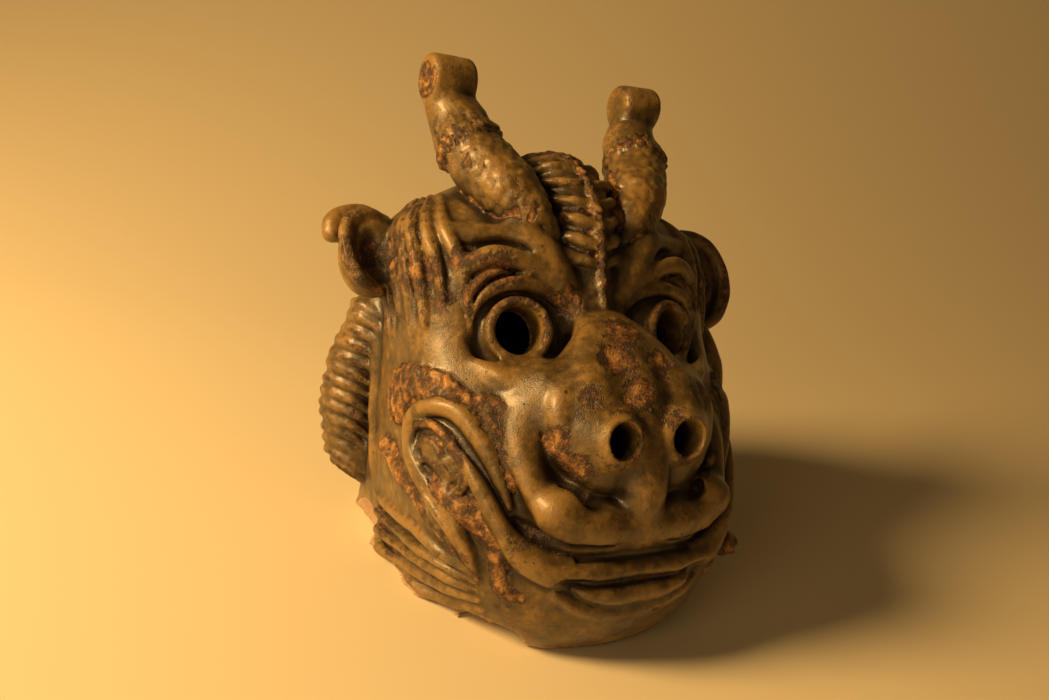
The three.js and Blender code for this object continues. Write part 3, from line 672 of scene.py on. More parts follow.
for side in SIDES:
    for i in range(TEMPLE_LOCKS):
        bearing = TEMPLE_FRONT + TEMPLE_SPAN * i / (TEMPLE_LOCKS - 1)
        low = 7 + 3 * math.sin(1.7 * i) + (3 if i < 2 else 0)
        sway = dice.normal(0, 0.7, 4)
        heights = (*LOCK_HEIGHTS, low)
        lock = [(bearing + 6 - 3 * k + sway[k], heights[k]) for k in range(4)]
        add(skin_roll(lock, [1.4, 2.2, 2.1, 1], side, lift=0.2), blend=0.7, rust=0.12, rough=0.3)
        groove = [(b + 3, h) for b, h in lock]
        take(skin_roll(groove, [0.6, 0.9, 0.9, 0.4], side, lift=1.4), blend=0.7, rust=0.5, rough=0.4)
print(2 * TEMPLE_LOCKS, "temple locks")

# %% [markdown]
# ## Ears
# Each ear is a leaf of clay folded forward: a thick rim, a hollow inside it, and a lobe that curls over the
# top. A hand-made head isn't quite even. In the photo its own left ear, on the viewer's right, is a wider
# leaf, and the flank under it is fuller, so that side gets both on top of the mirrored ones.

# %% Ears
EAR_LEAF = ((50.5, -4, 25), (9, 6, 11))
EAR_HOLLOW = ((52, -13, 26.6), (5.4, 6.4, 7.6))
EAR_RIM = ([(43, -2, 33), (51, -3.5, 36.5), (57.5, -6, 34), (59.3, -10, 27), (57, -12.5, 19.5),
            (50, -11, 15.5)], [2.2, 2.6, 1.8, 1.6, 1.8, 1.6])
EAR_LOBE = ([(45, 1, 35.5), (52.5, 1.5, 37), (58.5, 0.5, 35), (60.3, -1.5, 31.5)], [2.6, 3.6, 3.5, 2.6])
WIDE_LEAF = ((58.5, -8, 21.5), (10, 3.8, 14.5))
WIDE_HOLLOW = ((58.5, -15.4, 22), (5.5, 5, 9))
WIDE_RIM = ([(46, -4, 34), (55, -7, 36.5), (62.5, -9.5, 34), (66.8, -11, 27), (67.6, -12, 19),
             (64.5, -12, 11), (58, -11, 7)], [2.2, 2.6, 2.4, 2.2, 2.2, 2.2, 1.8])
FULL_FLANK = ([(51, -14, 12), (52.5, -18, 5), (54, -20, -3), (54.5, -20, -13), (52, -18, -22)],
              [1, 3.4, 4.4, 4, 1.5])

for side in SIDES:
    add(egg(*EAR_LEAF, side), blend=2)
    take(egg(*EAR_HOLLOW, side), blend=1.4, rust=0.6, rough=1)
    add(roll(*EAR_RIM, side), blend=1.2, rust=0.35)
    add(roll(*EAR_LOBE, side), blend=1.2)
add(egg(*WIDE_LEAF), blend=2)
add(roll(*WIDE_RIM), blend=1.2, rust=0.3)
take(egg(*WIDE_HOLLOW), blend=1.4, rust=0.6, rough=1)
add(roll(*FULL_FLANK), blend=9)
filled_x = grid_x[(clay < 0).any((1, 2))]
print("ears reach from", float(filled_x[0]), "to", float(filled_x[-1]), "mm")

# %% [markdown]
# ## Crest
# Between the horns a hump climbs from the nose over the crown. A rough seam of small beads runs up its
# middle, and overlapping scales lie in rows on each side of it. A point on the hump is found from its share
# of the way along and its turn from the ridge, so the rows follow the hump wherever it goes.

# %% Crest
HUMP = [(0, -38, 8), (0, -35, 20), (0, -31, 32), (0, -23, 42), (0, -10, 45), (0, 6, 41)]
HUMP_HALVES = [3.5, 6.5, 9, 10.5, 11, 10]
HUMP_WIDE = 1.1
SCALE_ROWS = 9
FIRST_ROW, ROWS_SPAN = 0.2, 0.58  # shares of the way along the hump
BEADS = 44
FIRST_BEAD, BEADS_SPAN = 0.02, 0.78

add(roll(HUMP, HUMP_HALVES, wide=HUMP_WIDE), blend=3)
hump_path = spline(HUMP, 0.5)
hump_halves = spread(HUMP_HALVES, hump_path)


def on_hump(share, turn_degrees, lift=0.0):
    """A point on the hump: share of the way along it, and the turn from its ridge to the right."""
    i = int(share * (len(hump_path) - 1))
    ahead = hump_path[min(i + 1, len(hump_path) - 1)] - hump_path[max(i - 1, 0)]
    ahead /= np.linalg.norm(ahead)
    out = np.array([0, -ahead[2], ahead[1]])
    turn_angle = math.radians(turn_degrees)
    half = hump_halves[i] + lift
    sideways = np.array([HUMP_WIDE, 0, 0])
    return hump_path[i] + half * (math.cos(turn_angle) * out + math.sin(turn_angle) * sideways)


for row in range(SCALE_ROWS):
    share = FIRST_ROW + ROWS_SPAN * row / (SCALE_ROWS - 1)
    for side in SIDES:
        lap = [on_hump(share, side * 10, 0.2), on_hump(share + 0.015, side * 32, 0.5),
               on_hump(share + 0.045, side * 56, 0.4), on_hump(share + 0.085, side * 82, 0)]
        add(roll(lap, [1.1, 1.5, 1.5, 0.9]), blend=0.8, rust=0.1, scaly=0.5, rough=0.3)
        notch = [on_hump(share + 0.036, side * 12, 1), on_hump(share + 0.05, side * 32, 1.4)]
        take(roll(notch, [0.6, 0.5]), blend=0.5, rust=0.8)
seam = np.array([on_hump(share, 2 * math.sin(17 * share), 0) for share in np.linspace(0.01, 0.84, 40)])
add(roll(seam, [0.9, 1.2, 1.2]), blend=0.8, rust=0.7, rough=1)
for bead in range(BEADS):
    share = FIRST_BEAD + BEADS_SPAN * bead / (BEADS - 1)
    centre = on_hump(share, 3 * math.sin(2.3 * bead), 0.8)
    add(egg(centre, (1.1, 1.4, 0.9)), blend=0.9, rust=0.6, rough=0.8)
print(2 * SCALE_ROWS, "rows of scales and", BEADS, "beads")

# %% [markdown]
# ## Horns
# A horn is two pieces of clay: a fat scaly sheath that starts as a point over the brow, and a smooth stem
# that comes out of it and rolls up sideways at the tip. The sheath ends round the stem in a cuff of torn
# teeth, and a row of small ones hems its lower edge. The end of the roll shows its spiral, cut with a
# point.

# %% Horns
SHEATH = [(12, -36, 31), (16, -32.5, 36), (21, -27.5, 43), (25.5, -21.5, 50.5), (27.8, -17.5, 56)]
SHEATH_HALVES = [2, 6.6, 8.7, 8.9, 8.4]
FOREHEAD = ([(7, -37.5, 12), (10, -37.5, 18), (14, -35, 25), (18.5, -31.5, 32)], [1.8, 3.4, 4.8, 5.5])
STEM = ([(25, -20.5, 51), (27.5, -16, 58), (29, -13.5, 63), (30.8, -12.3, 67.5), (31.2, -12.2, 73)],
        [7.2, 7.8, 8, 6.5, 6.2])
HORN_GROOVE = ([(9, -37, 33), (15, -27, 46), (17, -17, 53)], [1, 1.7, 1.2])
CURL_CENTRE = np.array([31.2, -12.5, 74])
CURL_HALF = 6.6
CURL_REACH = 6.5
CURL_WORN = 1.8
SPIRAL_TURNS = 1.7
CUFF_TEETH = 17
CUFF_AXIS = np.array([0.28, 0.52, 0.81])  # the way the sheath points at its end
HEM_TEETH = 9
HEM_TOP, HEM_FOOT = np.array([27.5, -27.5, 52]), np.array([17, -38, 35.5])


def curl_field(side):
    """The rolled tip: a short cylinder across the head with worn edges."""
    centre = CURL_CENTRE * (side, 1, 1)
    margin = np.array([CURL_REACH, CURL_HALF, CURL_HALF]) + 4
    cut, x, y, z = window(centre - margin, centre + margin)
    along = np.abs(x - centre[0]) - CURL_REACH + CURL_WORN
    away = np.hypot(y - centre[1], z - centre[2]) - CURL_HALF + CURL_WORN
    outside = np.hypot(np.maximum(along, 0), np.maximum(away, 0))
    return cut, (outside + np.minimum(np.maximum(along, away), 0) - CURL_WORN).astype(np.float32)


def curl_spiral(side):
    """The groove on the outer end of the rolled tip."""
    angle = np.linspace(0, 2 * math.pi * SPIRAL_TURNS, 30)
    out = CURL_HALF * (0.76 - 0.6 * angle / angle[-1])
    face = np.full_like(angle, CURL_REACH + 0.3)
    points = np.stack([face, -out * np.cos(angle), -out * np.sin(angle)], axis=1) + CURL_CENTRE
    return roll_field(points * (side, 1, 1), np.full(len(points), 0.8))


across = np.cross(CUFF_AXIS, (0, 0, 1))
across /= np.linalg.norm(across)
upright = np.cross(across, CUFF_AXIS)
for side in SIDES:
    add(roll(*FOREHEAD, side), blend=4)
    add(roll(*STEM, side), blend=1.5, rust=0.3, rough=0.3)
    add(roll(SHEATH, SHEATH_HALVES, side), blend=0.9, scaly=1, rust=0.22)
    for i in range(CUFF_TEETH):
        a = 2 * math.pi * i / CUFF_TEETH
        out = math.cos(a) * across + math.sin(a) * upright
        root = np.array(SHEATH[-1]) - 1.5 * CUFF_AXIS + 8.3 * out
        tip = np.array(SHEATH[-1]) + (4.2 + 1.8 * math.sin(2.4 * i)) * CUFF_AXIS + 6.9 * out
        add(roll([root, tip], [1.7, 0.9], side), blend=0.9, rust=0.55, rough=1, scaly=0.6)
    add(curl_field(side), blend=1.6, rust=0.15)
    take(curl_spiral(side), blend=0.6, rust=0.9)
    take(roll(*HORN_GROOVE, side), blend=1.2, rust=0.8)
    for i in range(HEM_TEETH):
        share = 0.9 * i / (HEM_TEETH - 1)
        top = HEM_TOP * (1 - share) + HEM_FOOT * share
        add(roll([top, top + (1, -0.3, -2.8)], [1.2, 0.7], side), blend=0.7, rust=0.7, rough=1)
print("horns are", 2 * max(SHEATH_HALVES), "mm thick")

# %% [markdown]
# ## Mane
# Behind each cheek a thick fall of hair stands out. Its locks run one above the other, each a roll that is
# thickest at the outer edge, where the fall turns back. The photo doesn't show the back of the head. It is
# combed downward in plain waving locks, in keeping with the rest.

# %% Mane and back
FALL = [(40, 14, 10), (42, 23, -4), (42.5, 29, -17), (42, 32, -28)]
FALL_HALVES = [9, 10.5, 11, 9]
MANE_LOCKS = 15
MANE_TOP, MANE_DROP = 17, 51
LOCK_TURNS = np.radians([-95, -62, -25, 15, 55, 95])
LOCK_DROPS = np.array([-6.5, -3, -0.3, 0.6, -0.6, -3])
BACK_LOCKS = 15
BACK_START, BACK_SPAN = 126, 108  # bearings in degrees

fall_path = spline(FALL, 0.4)
fall_halves = spread(FALL_HALVES, fall_path)
for side in SIDES:
    add(roll(FALL, FALL_HALVES, side), blend=3)
    for i in range(MANE_LOCKS):
        height = MANE_TOP - MANE_DROP * i / (MANE_LOCKS - 1)
        nearest = int(np.argmin(np.abs(fall_path[:, 2] - height)))
        middle, half = fall_path[nearest], fall_halves[nearest]
        reach = math.sqrt(max(half**2 - (height - middle[2]) ** 2, 9)) - 0.3
        heights = height + (LOCK_DROPS + dice.normal(0, 0.35, len(LOCK_DROPS)))
        x, y = middle[0] + reach * np.cos(LOCK_TURNS), middle[1] + reach * np.sin(LOCK_TURNS)
        lock = np.stack([x, y, heights], axis=1)
        add(roll(lock, [1, 1.4, 1.5, 1.5, 1.5, 1], side), blend=1.1, rust=0.2, rough=0.45)
for i in range(BACK_LOCKS):
    bearing = BACK_START + BACK_SPAN * i / (BACK_LOCKS - 1)
    wave = 3 * math.sin(1.3 * i)
    lock = [(bearing, 44), (bearing + wave, 24), (bearing - wave, 2), (bearing + wave, -22), (bearing, -42)]
    add(skin_roll(lock, [1.4, 3, 3.2, 3, 2], lift=-0.6), blend=1.2)
print(2 * MANE_LOCKS, "mane locks and", BACK_LOCKS, "locks at the back")

# %% [markdown]
# ## Noise for the fine relief
# Hands and tools leave no surface even. Value noise, random numbers on a lattice with smooth steps between,
# gives soft unevenness and, at a finer scale, the crust of bare iron. Cell noise gives the pebbled scales
# of the horns: each point takes its distance to the nearest of many scattered seeds.

# %% Noise
LATTICE = 64
FROM_ZERO = 100  # shifts every point so that none falls on the lattice's negative side
lattice = np.random.default_rng(21).random((LATTICE,) * 3).astype(np.float32) * 2 - 1
seeds = np.random.default_rng(22).random((LATTICE, LATTICE, LATTICE, 3)).astype(np.float32)


def soft_noise(points, size):
    """Value noise from -1 to 1, with bumps about size millimetres across."""
    p = points / size + FROM_ZERO
    base = np.floor(p).astype(int)
    t = p - base
    t = t * t * (3 - 2 * t)
    total = np.zeros(len(points), np.float32)
    for corner in np.ndindex(2, 2, 2):
        at = (base + corner) % LATTICE
        weight = np.prod(np.where(corner, t, 1 - t), axis=1)
        total += weight * lattice[at[:, 0], at[:, 1], at[:, 2]]
    return total


def cell_noise(points, size):
    """Distance to the nearest scattered seed, from 0 at a seed to about 1 between them."""
    p = points / size + FROM_ZERO
    base = np.floor(p).astype(int)
    nearest = np.full(len(points), 9.0, np.float32)
    for step in np.ndindex(3, 3, 3):
        cell = base + np.array(step) - 1
        at = cell % LATTICE
        seed = cell + seeds[at[:, 0], at[:, 1], at[:, 2]]
        nearest = np.minimum(nearest, ((p - seed) ** 2).sum(1))
    return np.sqrt(nearest)


print("lattice of", LATTICE, "steps each way")

# %% [markdown]
# ## Laying on the relief
# Only the cubes near the skin matter, so the noise is worked out for those alone. Soft unevenness goes
# everywhere, pebbles only where the clay is marked scaly, and a crust where it is marked rough.

# %% Fine relief
SKIN_DEPTH = 3
HAND_WAVES = ((0.35, 11), (0.16, 4.5))  # height and width of the bumps, in millimetres
PEBBLE_SIZE = 2.5
PEBBLE_HEIGHT = 1.15
CRUST_HEIGHT = 0.75


def cubes_near_skin(within, mask=None):
    """Indices and positions of the cubes close to the surface, only where a mask is set if one is given."""
    chosen = np.abs(clay) < within
    if mask is not None:
        chosen &= masks[mask] > 0.02
    index = np.argwhere(chosen)
    return tuple(index.T), (LOW + index * VOXEL).astype(np.float32)


at, where = cubes_near_skin(SKIN_DEPTH)
clay[at] -= sum(high * soft_noise(where, size) for high, size in HAND_WAVES)
at, where = cubes_near_skin(SKIN_DEPTH, "scaly")
pebbles = 0.55 - cell_noise(where, PEBBLE_SIZE)
clay[at] -= masks["scaly"][at] * PEBBLE_HEIGHT * np.clip(pebbles, -0.25, 0.4)
at, where = cubes_near_skin(SKIN_DEPTH, "rough")
crust = 0.5 * soft_noise(where, 2.1) + 0.35 * soft_noise(where, 1.1) + 0.5 * (0.5 - cell_noise(where, 3.2))
clay[at] -= masks["rough"][at] * CRUST_HEIGHT * crust
print("fine relief laid on", len(where), "rough cubes")

# %% [markdown]
# ## Hollow, pupils, nostrils and the break
# The head is a shell 7.5 mm thick, and the pupils go right through it. At the neck it broke off. The real
# break is uneven, but here it is nearly level with the ground, so that the head stands, with wedges knocked
# out of its edge. The hollow comes last, so that no roll laid on outside can fill it.

# %% Hollow and break
HOLLOW_EDGE = 1.5
PUPIL = ([EYE + 8 * EYE_OUT, EYE - 5 * EYE_OUT, EYE - 32 * EYE_OUT],
         [EYE_BORE / 2 + 1, EYE_BORE / 2 + 0.2, EYE_BORE / 2 - 0.6])
NOSTRIL_HOLE = ([NOSTRIL + (0, -6, 0), NOSTRIL + (-0.6, 7, -1)], [5, 3.6])
BREAK_DEPTH = 2.2
CHIPS = [  # centre in the part's upright frame, before it is set back, and half sizes
    ((-27, -54, 1), (9, 12, 5)), ((30, -50, 4), (15, 13, 13)), ((46, -15, 1), (10, 9, 7)),
    ((-47, 3, 2), (7, 14, 8)), ((26, 34, 0), (14, 9, 6)), ((-20, 37, 1), (10, 8, 5)),
]

clay = -smooth_min(-clay, hollow, HOLLOW_EDGE)
for side in SIDES:
    take(roll(*PUPIL, side), blend=0.6)
    take(roll(*NOSTRIL_HOLE, side), blend=1)
for (x, y, z), sizes in CHIPS:
    centre_y = y * math.cos(LEAN_BACK) - (z - BREAK_DROP) * math.sin(LEAN_BACK)
    centre_z = y * math.sin(LEAN_BACK) + (z - BREAK_DROP) * math.cos(LEAN_BACK)
    take(egg((x, centre_y, centre_z), sizes), blend=0.6, bare=1)

height = part_height(grid_y[None, :, None], grid_z[None, None, :]) + 0 * grid_x[:, None, None]
index = np.argwhere((np.abs(height) < 4) & (clay < 3))
at, where = tuple(index.T), (LOW + index * VOXEL).astype(np.float32)
ragged = 0.9 + 0.9 * soft_noise(where, 7) + 0.5 * soft_noise(where, 2.4)
broken = height.astype(np.float32)
broken[at] -= np.clip(ragged, 0, BREAK_DEPTH)
clay = np.maximum(clay, -broken)
masks["bare"] = np.maximum(masks["bare"], np.clip(1.6 - broken, 0, 1).astype(np.float16))
masks["bare"][hollow < 1.2] = 1
print("wall", WALL, "mm,", len(CHIPS), "chips in the break")

# %% [markdown]
# ## Thin and thick glaze, and painted shade
# Melted glaze runs off edges and gathers in grooves. Both can be read from the field: blur it, and where the
# blurred value is higher than the sharp one, the clay stands out. Where it is lower, there is a groove. The
# grooves found here are also darkened as painted shade.

# %% Edges and grooves
FINE_BLUR, BROAD_BLUR = 1.2, 3.6  # millimetres


def blurred(field, half_width):
    """Two passes of a moving average along each axis."""
    n = max(1, round(half_width / VOXEL))
    result = field
    for axis in (0, 1, 2, 0, 1, 2):
        pad = [(n + 1, n) if k == axis else (0, 0) for k in range(3)]
        total = np.cumsum(np.pad(result, pad, mode="edge"), axis=axis, dtype=np.float32)
        upper = np.take(total, range(2 * n + 1, total.shape[axis]), axis=axis)
        lower = np.take(total, range(0, total.shape[axis] - 2 * n - 1), axis=axis)
        result = (upper - lower) / (2 * n + 1)
    return result


shallow = np.clip(clay, -5, 5)
fine_relief = blurred(shallow, FINE_BLUR) - shallow
broad_relief = blurred(shallow, BROAD_BLUR) - shallow
print("relief found:", float(fine_relief.std()), float(broad_relief.std()))

# %% [markdown]
# ## From field to mesh
# OpenVDB walks the field and puts a quad wherever it changes sign. That gives far more faces than are
# needed, so the Decimate modifier merges those that lie flat and keeps them small along the creases. Crumbs
# of clay that a cut left floating are dropped.

# %% Surface
MOST_TRIANGLES = 190_000

vdb = openvdb.FloatGrid(FAR)
vdb.copyFromArray(np.ascontiguousarray(clay))
points, _, quads = vdb.convertToPolygons(isovalue=0.0)


def largest_piece(count, faces):
    """Which points belong to the largest connected piece, so that loose crumbs can be left out."""
    label = np.arange(count)
    ends = np.vstack([faces[:, [0, 1]], faces[:, [1, 2]], faces[:, [2, 3]]])
    while True:
        lowest = np.minimum(label[ends[:, 0]], label[ends[:, 1]])
        before = label.copy()
        np.minimum.at(label, ends[:, 0], lowest)
        np.minimum.at(label, ends[:, 1], lowest)
        label = label[label]
        if (label == before).all():
            return label == np.bincount(label).argmax()


kept = largest_piece(len(points), quads)
number = np.cumsum(kept) - 1
quads = number[quads[kept[quads[:, 0]]]][:, ::-1]
dense = bpy.data.meshes.new("dense_clay")
dense.from_pydata((points[kept] * VOXEL + LOW).tolist(), [], quads.tolist())
head = bpy.data.objects.new("glazed_head", dense)
bpy.context.collection.objects.link(head)

decimate = head.modifiers.new("fewer faces", "DECIMATE")
decimate.ratio = min(1, MOST_TRIANGLES / (2 * len(quads)))
evaluated = head.evaluated_get(bpy.context.evaluated_depsgraph_get())
head.data = bpy.data.meshes.new_from_object(evaluated)
head.modifiers.clear()
bpy.data.meshes.remove(dense)
print(len(quads), "quads became", len(head.data.polygons), "faces")

# %% [markdown]
# ## Marks on the mesh
# The masks and the two reliefs are read off the field at each vertex and kept as attributes of the mesh,
# where the materials can reach them. Painting them by hand would take long, and would not follow a change
# of shape. Then the head moves from the face frame into the part's own.

# %% Attributes
def read_field(field, places):
    """Values of a field between its cubes, weighted by nearness to the eight around."""
    p = np.clip((places - LOW) / VOXEL, 0, counts - 1.001)
    base = p.astype(int)
    t = p - base
    total = np.zeros(len(places))
    for corner in np.ndindex(2, 2, 2):
        at = base + corner
        total += np.prod(np.where(corner, t, 1 - t), axis=1) * field[at[:, 0], at[:, 1], at[:, 2]]
    return total


vertices = np.empty(len(head.data.vertices) * 3, np.float32)
head.data.vertices.foreach_get("co", vertices)
vertices = vertices.reshape(-1, 3)

readings = {
    "rust_mark": read_field(masks["rust"], vertices),
    "scale_mark": read_field(masks["scaly"], vertices),
    "bare_mark": read_field(masks["bare"], vertices),
    "inside": np.clip(1 - (read_field(hollow, vertices) - 0.4) / 1.2, 0, 1),
    "edge": np.clip(read_field(fine_relief, vertices) / 0.45, -1, 1),
    "form": np.clip(read_field(broad_relief, vertices) / 1.2, -1, 1),
}
for name, values in readings.items():
    attribute = head.data.attributes.new(name, "FLOAT", "POINT")
    attribute.data.foreach_set("value", values.astype(np.float32))
    print(name, "from", round(float(values.min()), 2), "to", round(float(values.max()), 2))

head.data.transform(face_to_part)
head.data.polygons.foreach_set("use_smooth", np.ones(len(head.data.polygons), bool))
head.data.update()

# %% [markdown]
# ## Node groups
# Small shader groups hold the effects that the materials share. A group only puts out colours, masks and
# heights, and the shader itself stays in each material.

# %% Helpers for node trees
def new_group(name, inputs, outputs):
    """An empty shader group with named sockets, and its input and output nodes."""
    group = bpy.data.node_groups.new(name, "ShaderNodeTree")
    for socket_name, kind, value in inputs:
        socket = group.interface.new_socket(socket_name, in_out="INPUT", socket_type=kind)
        socket.default_value = value
    for socket_name, kind in outputs:
        group.interface.new_socket(socket_name, in_out="OUTPUT", socket_type=kind)
    return group, group.nodes.new("NodeGroupInput"), group.nodes.new("NodeGroupOutput")


def math_node(tree, operation, *values, clamp=False):
    """A Math node with numbers or sockets on its inputs."""
    node = tree.nodes.new("ShaderNodeMath")
    node.operation = operation
    node.use_clamp = clamp
    for socket, value in zip(node.inputs, values):
        if isinstance(value, bpy.types.NodeSocket):
            tree.links.new(value, socket)
        else:
            socket.default_value = value
    return node.outputs[0]


def map_node(tree, value, low, high, to_low=0.0, to_high=1.0):
    """A Map Range node with a smooth step."""
    node = tree.nodes.new("ShaderNodeMapRange")
    node.interpolation_type = "SMOOTHSTEP"
    tree.links.new(value, node.inputs["Value"])
    for socket, number in zip(("From Min", "From Max", "To Min", "To Max"), (low, high, to_low, to_high)):
        node.inputs[socket].default_value = number
    return node.outputs["Result"]


def mix_colours(tree, share, first, second):
    """A Mix node for colours, given as sockets or as plain RGB."""
    node = tree.nodes.new("ShaderNodeMix")
    node.data_type = "RGBA"
    tree.links.new(share, node.inputs["Factor"])
    for socket, colour in zip((node.inputs[6], node.inputs[7]), (first, second)):
        if isinstance(colour, bpy.types.NodeSocket):
            tree.links.new(colour, socket)
        else:
            socket.default_value = (*colour, 1)
    return node.outputs[2]


def noise_node(tree, scale, detail=4.0, roughness=0.55):
    """Noise in the object's own coordinates, scale in bumps for each metre."""
    coordinates = tree.nodes.new("ShaderNodeTexCoord")
    node = tree.nodes.new("ShaderNodeTexNoise")
    tree.links.new(coordinates.outputs["Object"], node.inputs["Vector"])
    node.inputs["Scale"].default_value = scale
    node.inputs["Detail"].default_value = detail
    node.inputs["Roughness"].default_value = roughness
    return node.outputs["Fac"]


def attribute_node(tree, name):
    """Reads a mark that the mesh carries."""
    node = tree.nodes.new("ShaderNodeAttribute")
    node.attribute_name = name
    return node.outputs["Fac"]


def place_group(tree, group, **values):
    """Puts a group into a tree, with numbers or sockets on its inputs."""
    node = tree.nodes.new("ShaderNodeGroup")
    node.node_tree = group
    for name, value in values.items():
        socket = node.inputs[name.replace("_", " ")]
        if isinstance(value, bpy.types.NodeSocket):
            tree.links.new(value, socket)
        elif isinstance(value, tuple):
            socket.default_value = (*value, 1)
        else:
            socket.default_value = value
    return node.outputs


print("helpers ready")

# %% [markdown]
# ### Ragged edges
# A mask read off vertices has a soft, even border. Real rust has a torn one. This group adds noise to the
# mask and then steps it, so that the border breaks into islands.

# %% Ragged mask group
ragged_mask, entry, leave = new_group(
    "ragged_mask",
    [("Mask", "NodeSocketFloat", 0.0), ("Scale", "NodeSocketFloat", 500.0),
     ("Tear", "NodeSocketFloat", 0.8), ("Threshold", "NodeSocketFloat", 0.5)],
    [("Amount", "NodeSocketFloat"), ("Strength", "NodeSocketFloat")],
)
coordinates = ragged_mask.nodes.new("ShaderNodeTexCoord")
tear_noise = ragged_mask.nodes.new("ShaderNodeTexNoise")
tear_noise.inputs["Detail"].default_value = 5
tear_noise.inputs["Roughness"].default_value = 0.62
ragged_mask.links.new(coordinates.outputs["Object"], tear_noise.inputs["Vector"])
ragged_mask.links.new(entry.outputs["Scale"], tear_noise.inputs["Scale"])
offset = math_node(ragged_mask, "SUBTRACT", tear_noise.outputs["Fac"], 0.5)
torn = math_node(ragged_mask, "MULTIPLY_ADD", offset, entry.outputs["Tear"], entry.outputs["Mask"])
above = math_node(ragged_mask, "SUBTRACT", torn, entry.outputs["Threshold"])
ragged_mask.links.new(map_node(ragged_mask, above, -0.1, 0.12), leave.inputs["Amount"])
ragged_mask.links.new(above, leave.inputs["Strength"])
print("group:", ragged_mask.name)

# %% [markdown]
# ### Bare clay
# Where there is no glaze the fired clay shows: red brown and matt, with paler grit in it. The inside of the
# shell and every chip use it.

# %% Bare clay group
bare_clay, entry, leave = new_group(
    "bare_clay_body",
    [("Clay", "NodeSocketColor", (0.2, 0.09, 0.04, 1)), ("Grit", "NodeSocketColor", (0.5, 0.36, 0.24, 1)),
     ("Grit Amount", "NodeSocketFloat", 0.35)],
    [("Colour", "NodeSocketColor"), ("Height", "NodeSocketFloat")],
)
cloud = noise_node(bare_clay, 120, 5)
speck = noise_node(bare_clay, 1500, 3, 0.7)
specks = map_node(bare_clay, speck, 0.5, 0.68)
grit_share = math_node(bare_clay, "MULTIPLY", specks, entry.outputs["Grit Amount"])
grit_share = math_node(bare_clay, "MULTIPLY_ADD", map_node(bare_clay, cloud, 0.4, 0.75), 0.25, grit_share)
colour = mix_colours(bare_clay, grit_share, entry.outputs["Clay"], entry.outputs["Grit"])
bare_clay.links.new(colour, leave.inputs["Colour"])
bare_clay.links.new(speck, leave.inputs["Height"])
print("group:", bare_clay.name)

# %% [markdown]
# ### Pinholes
# Gas that escapes through melted glaze leaves pinholes, here half a millimetre to a millimetre wide. Two
# sizes of Voronoi cells place them, and only a few of the cells hold one.

# %% Pinhole group
pinholes, entry, leave = new_group(
    "pinholes",
    [("Scale", "NodeSocketFloat", 420.0), ("Share", "NodeSocketFloat", 0.3),
     ("Size", "NodeSocketFloat", 0.22)],
    [("Pit", "NodeSocketFloat")],
)
coordinates = pinholes.nodes.new("ShaderNodeTexCoord")
cells = pinholes.nodes.new("ShaderNodeTexVoronoi")
pinholes.links.new(coordinates.outputs["Object"], cells.inputs["Vector"])
pinholes.links.new(entry.outputs["Scale"], cells.inputs["Scale"])
split = pinholes.nodes.new("ShaderNodeSeparateColor")
pinholes.links.new(cells.outputs["Color"], split.inputs["Color"])
holds_one = math_node(pinholes, "LESS_THAN", split.outputs[0], entry.outputs["Share"])
inner = math_node(pinholes, "DIVIDE", cells.outputs["Distance"], entry.outputs["Size"])
dip = map_node(pinholes, inner, 0.55, 1.0, 1.0, 0.0)
pinholes.links.new(math_node(pinholes, "MULTIPLY", dip, holds_one), leave.inputs["Pit"])
print("group:", pinholes.name)

# %% [markdown]
# ## The glaze
# Thick glaze is a dark olive brown, thinner glaze turns tan, and where it ran off, iron from the clay comes
# through as rust. Grooves hold the thickest glaze, and on top of that they are darkened further as painted
# shade, the shade that falls into creases and recesses. A picture could be wrapped round the head, but the
# marks of the modelling already say where the glaze is thick, so the colours are built from them and from
# noise. The surface is glossy where it is glaze and drier where it is rust or clay.

# %% Glaze material
GLAZE_THICK = (0.038, 0.026, 0.011)
GLAZE_MIDDLE = (0.1, 0.062, 0.02)
GLAZE_THIN = (0.23, 0.138, 0.041)
# Near black for grooves: partly glaze pooled thick there, partly painted shade.
GLAZE_POOL_AND_PAINTED_SHADE = (0.02, 0.011, 0.005)
RUST_DARK = (0.03, 0.011, 0.005)
RUST_WARM = (0.13, 0.053, 0.015)
OCHRE = (0.4, 0.205, 0.055)


def empty_material(name):
    """A new material, its node tree and its shader."""
    material = bpy.data.materials.new(name)
    material.use_nodes = True
    return material, material.node_tree, material.node_tree.nodes["Principled BSDF"]


def centred(tree, value, middle=0.5):
    """A noise value with its middle moved to nothing."""
    return math_node(tree, "SUBTRACT", value, middle)


def plus_share(tree, value, share, rest):
    """A share of one value added to another."""
    return math_node(tree, "MULTIPLY_ADD", value, share, rest)


glaze, tree, shader = empty_material("glazed_stoneware")
form, edge = attribute_node(tree, "form"), attribute_node(tree, "edge")
mottle = noise_node(tree, 90, 5, 0.6)
fine_mottle = noise_node(tree, 420, 4, 0.6)
depth = plus_share(tree, form, 0.42, 0.5)
depth = plus_share(tree, centred(tree, mottle), 1.5, depth)
depth = plus_share(tree, centred(tree, fine_mottle), 1.1, depth)
colour = mix_colours(tree, map_node(tree, depth, 0.2, 0.62), GLAZE_THICK, GLAZE_MIDDLE)
colour = mix_colours(tree, map_node(tree, depth, 0.55, 1.05), colour, GLAZE_THIN)
# Grooves and creases darken towards near black: partly thick pooled glaze, partly painted shade standing in
# for the shade that falls into them.
pool_and_painted_shade = plus_share(tree, edge, -0.75, math_node(tree, "MULTIPLY", form, -0.6))
colour = mix_colours(tree, map_node(tree, pool_and_painted_shade, 0.02, 0.7), colour, GLAZE_POOL_AND_PAINTED_SHADE)
print("glaze coloured by its depth")

# %% [markdown]
# ### Rust
# Rust follows the marks, drifts out in clouds, and collects on sharp edges and in the pits between scales.
# It isn't one colour: burnt dark at its torn border and in patches, warm brown next, and yellow ochre where
# it is strongest.

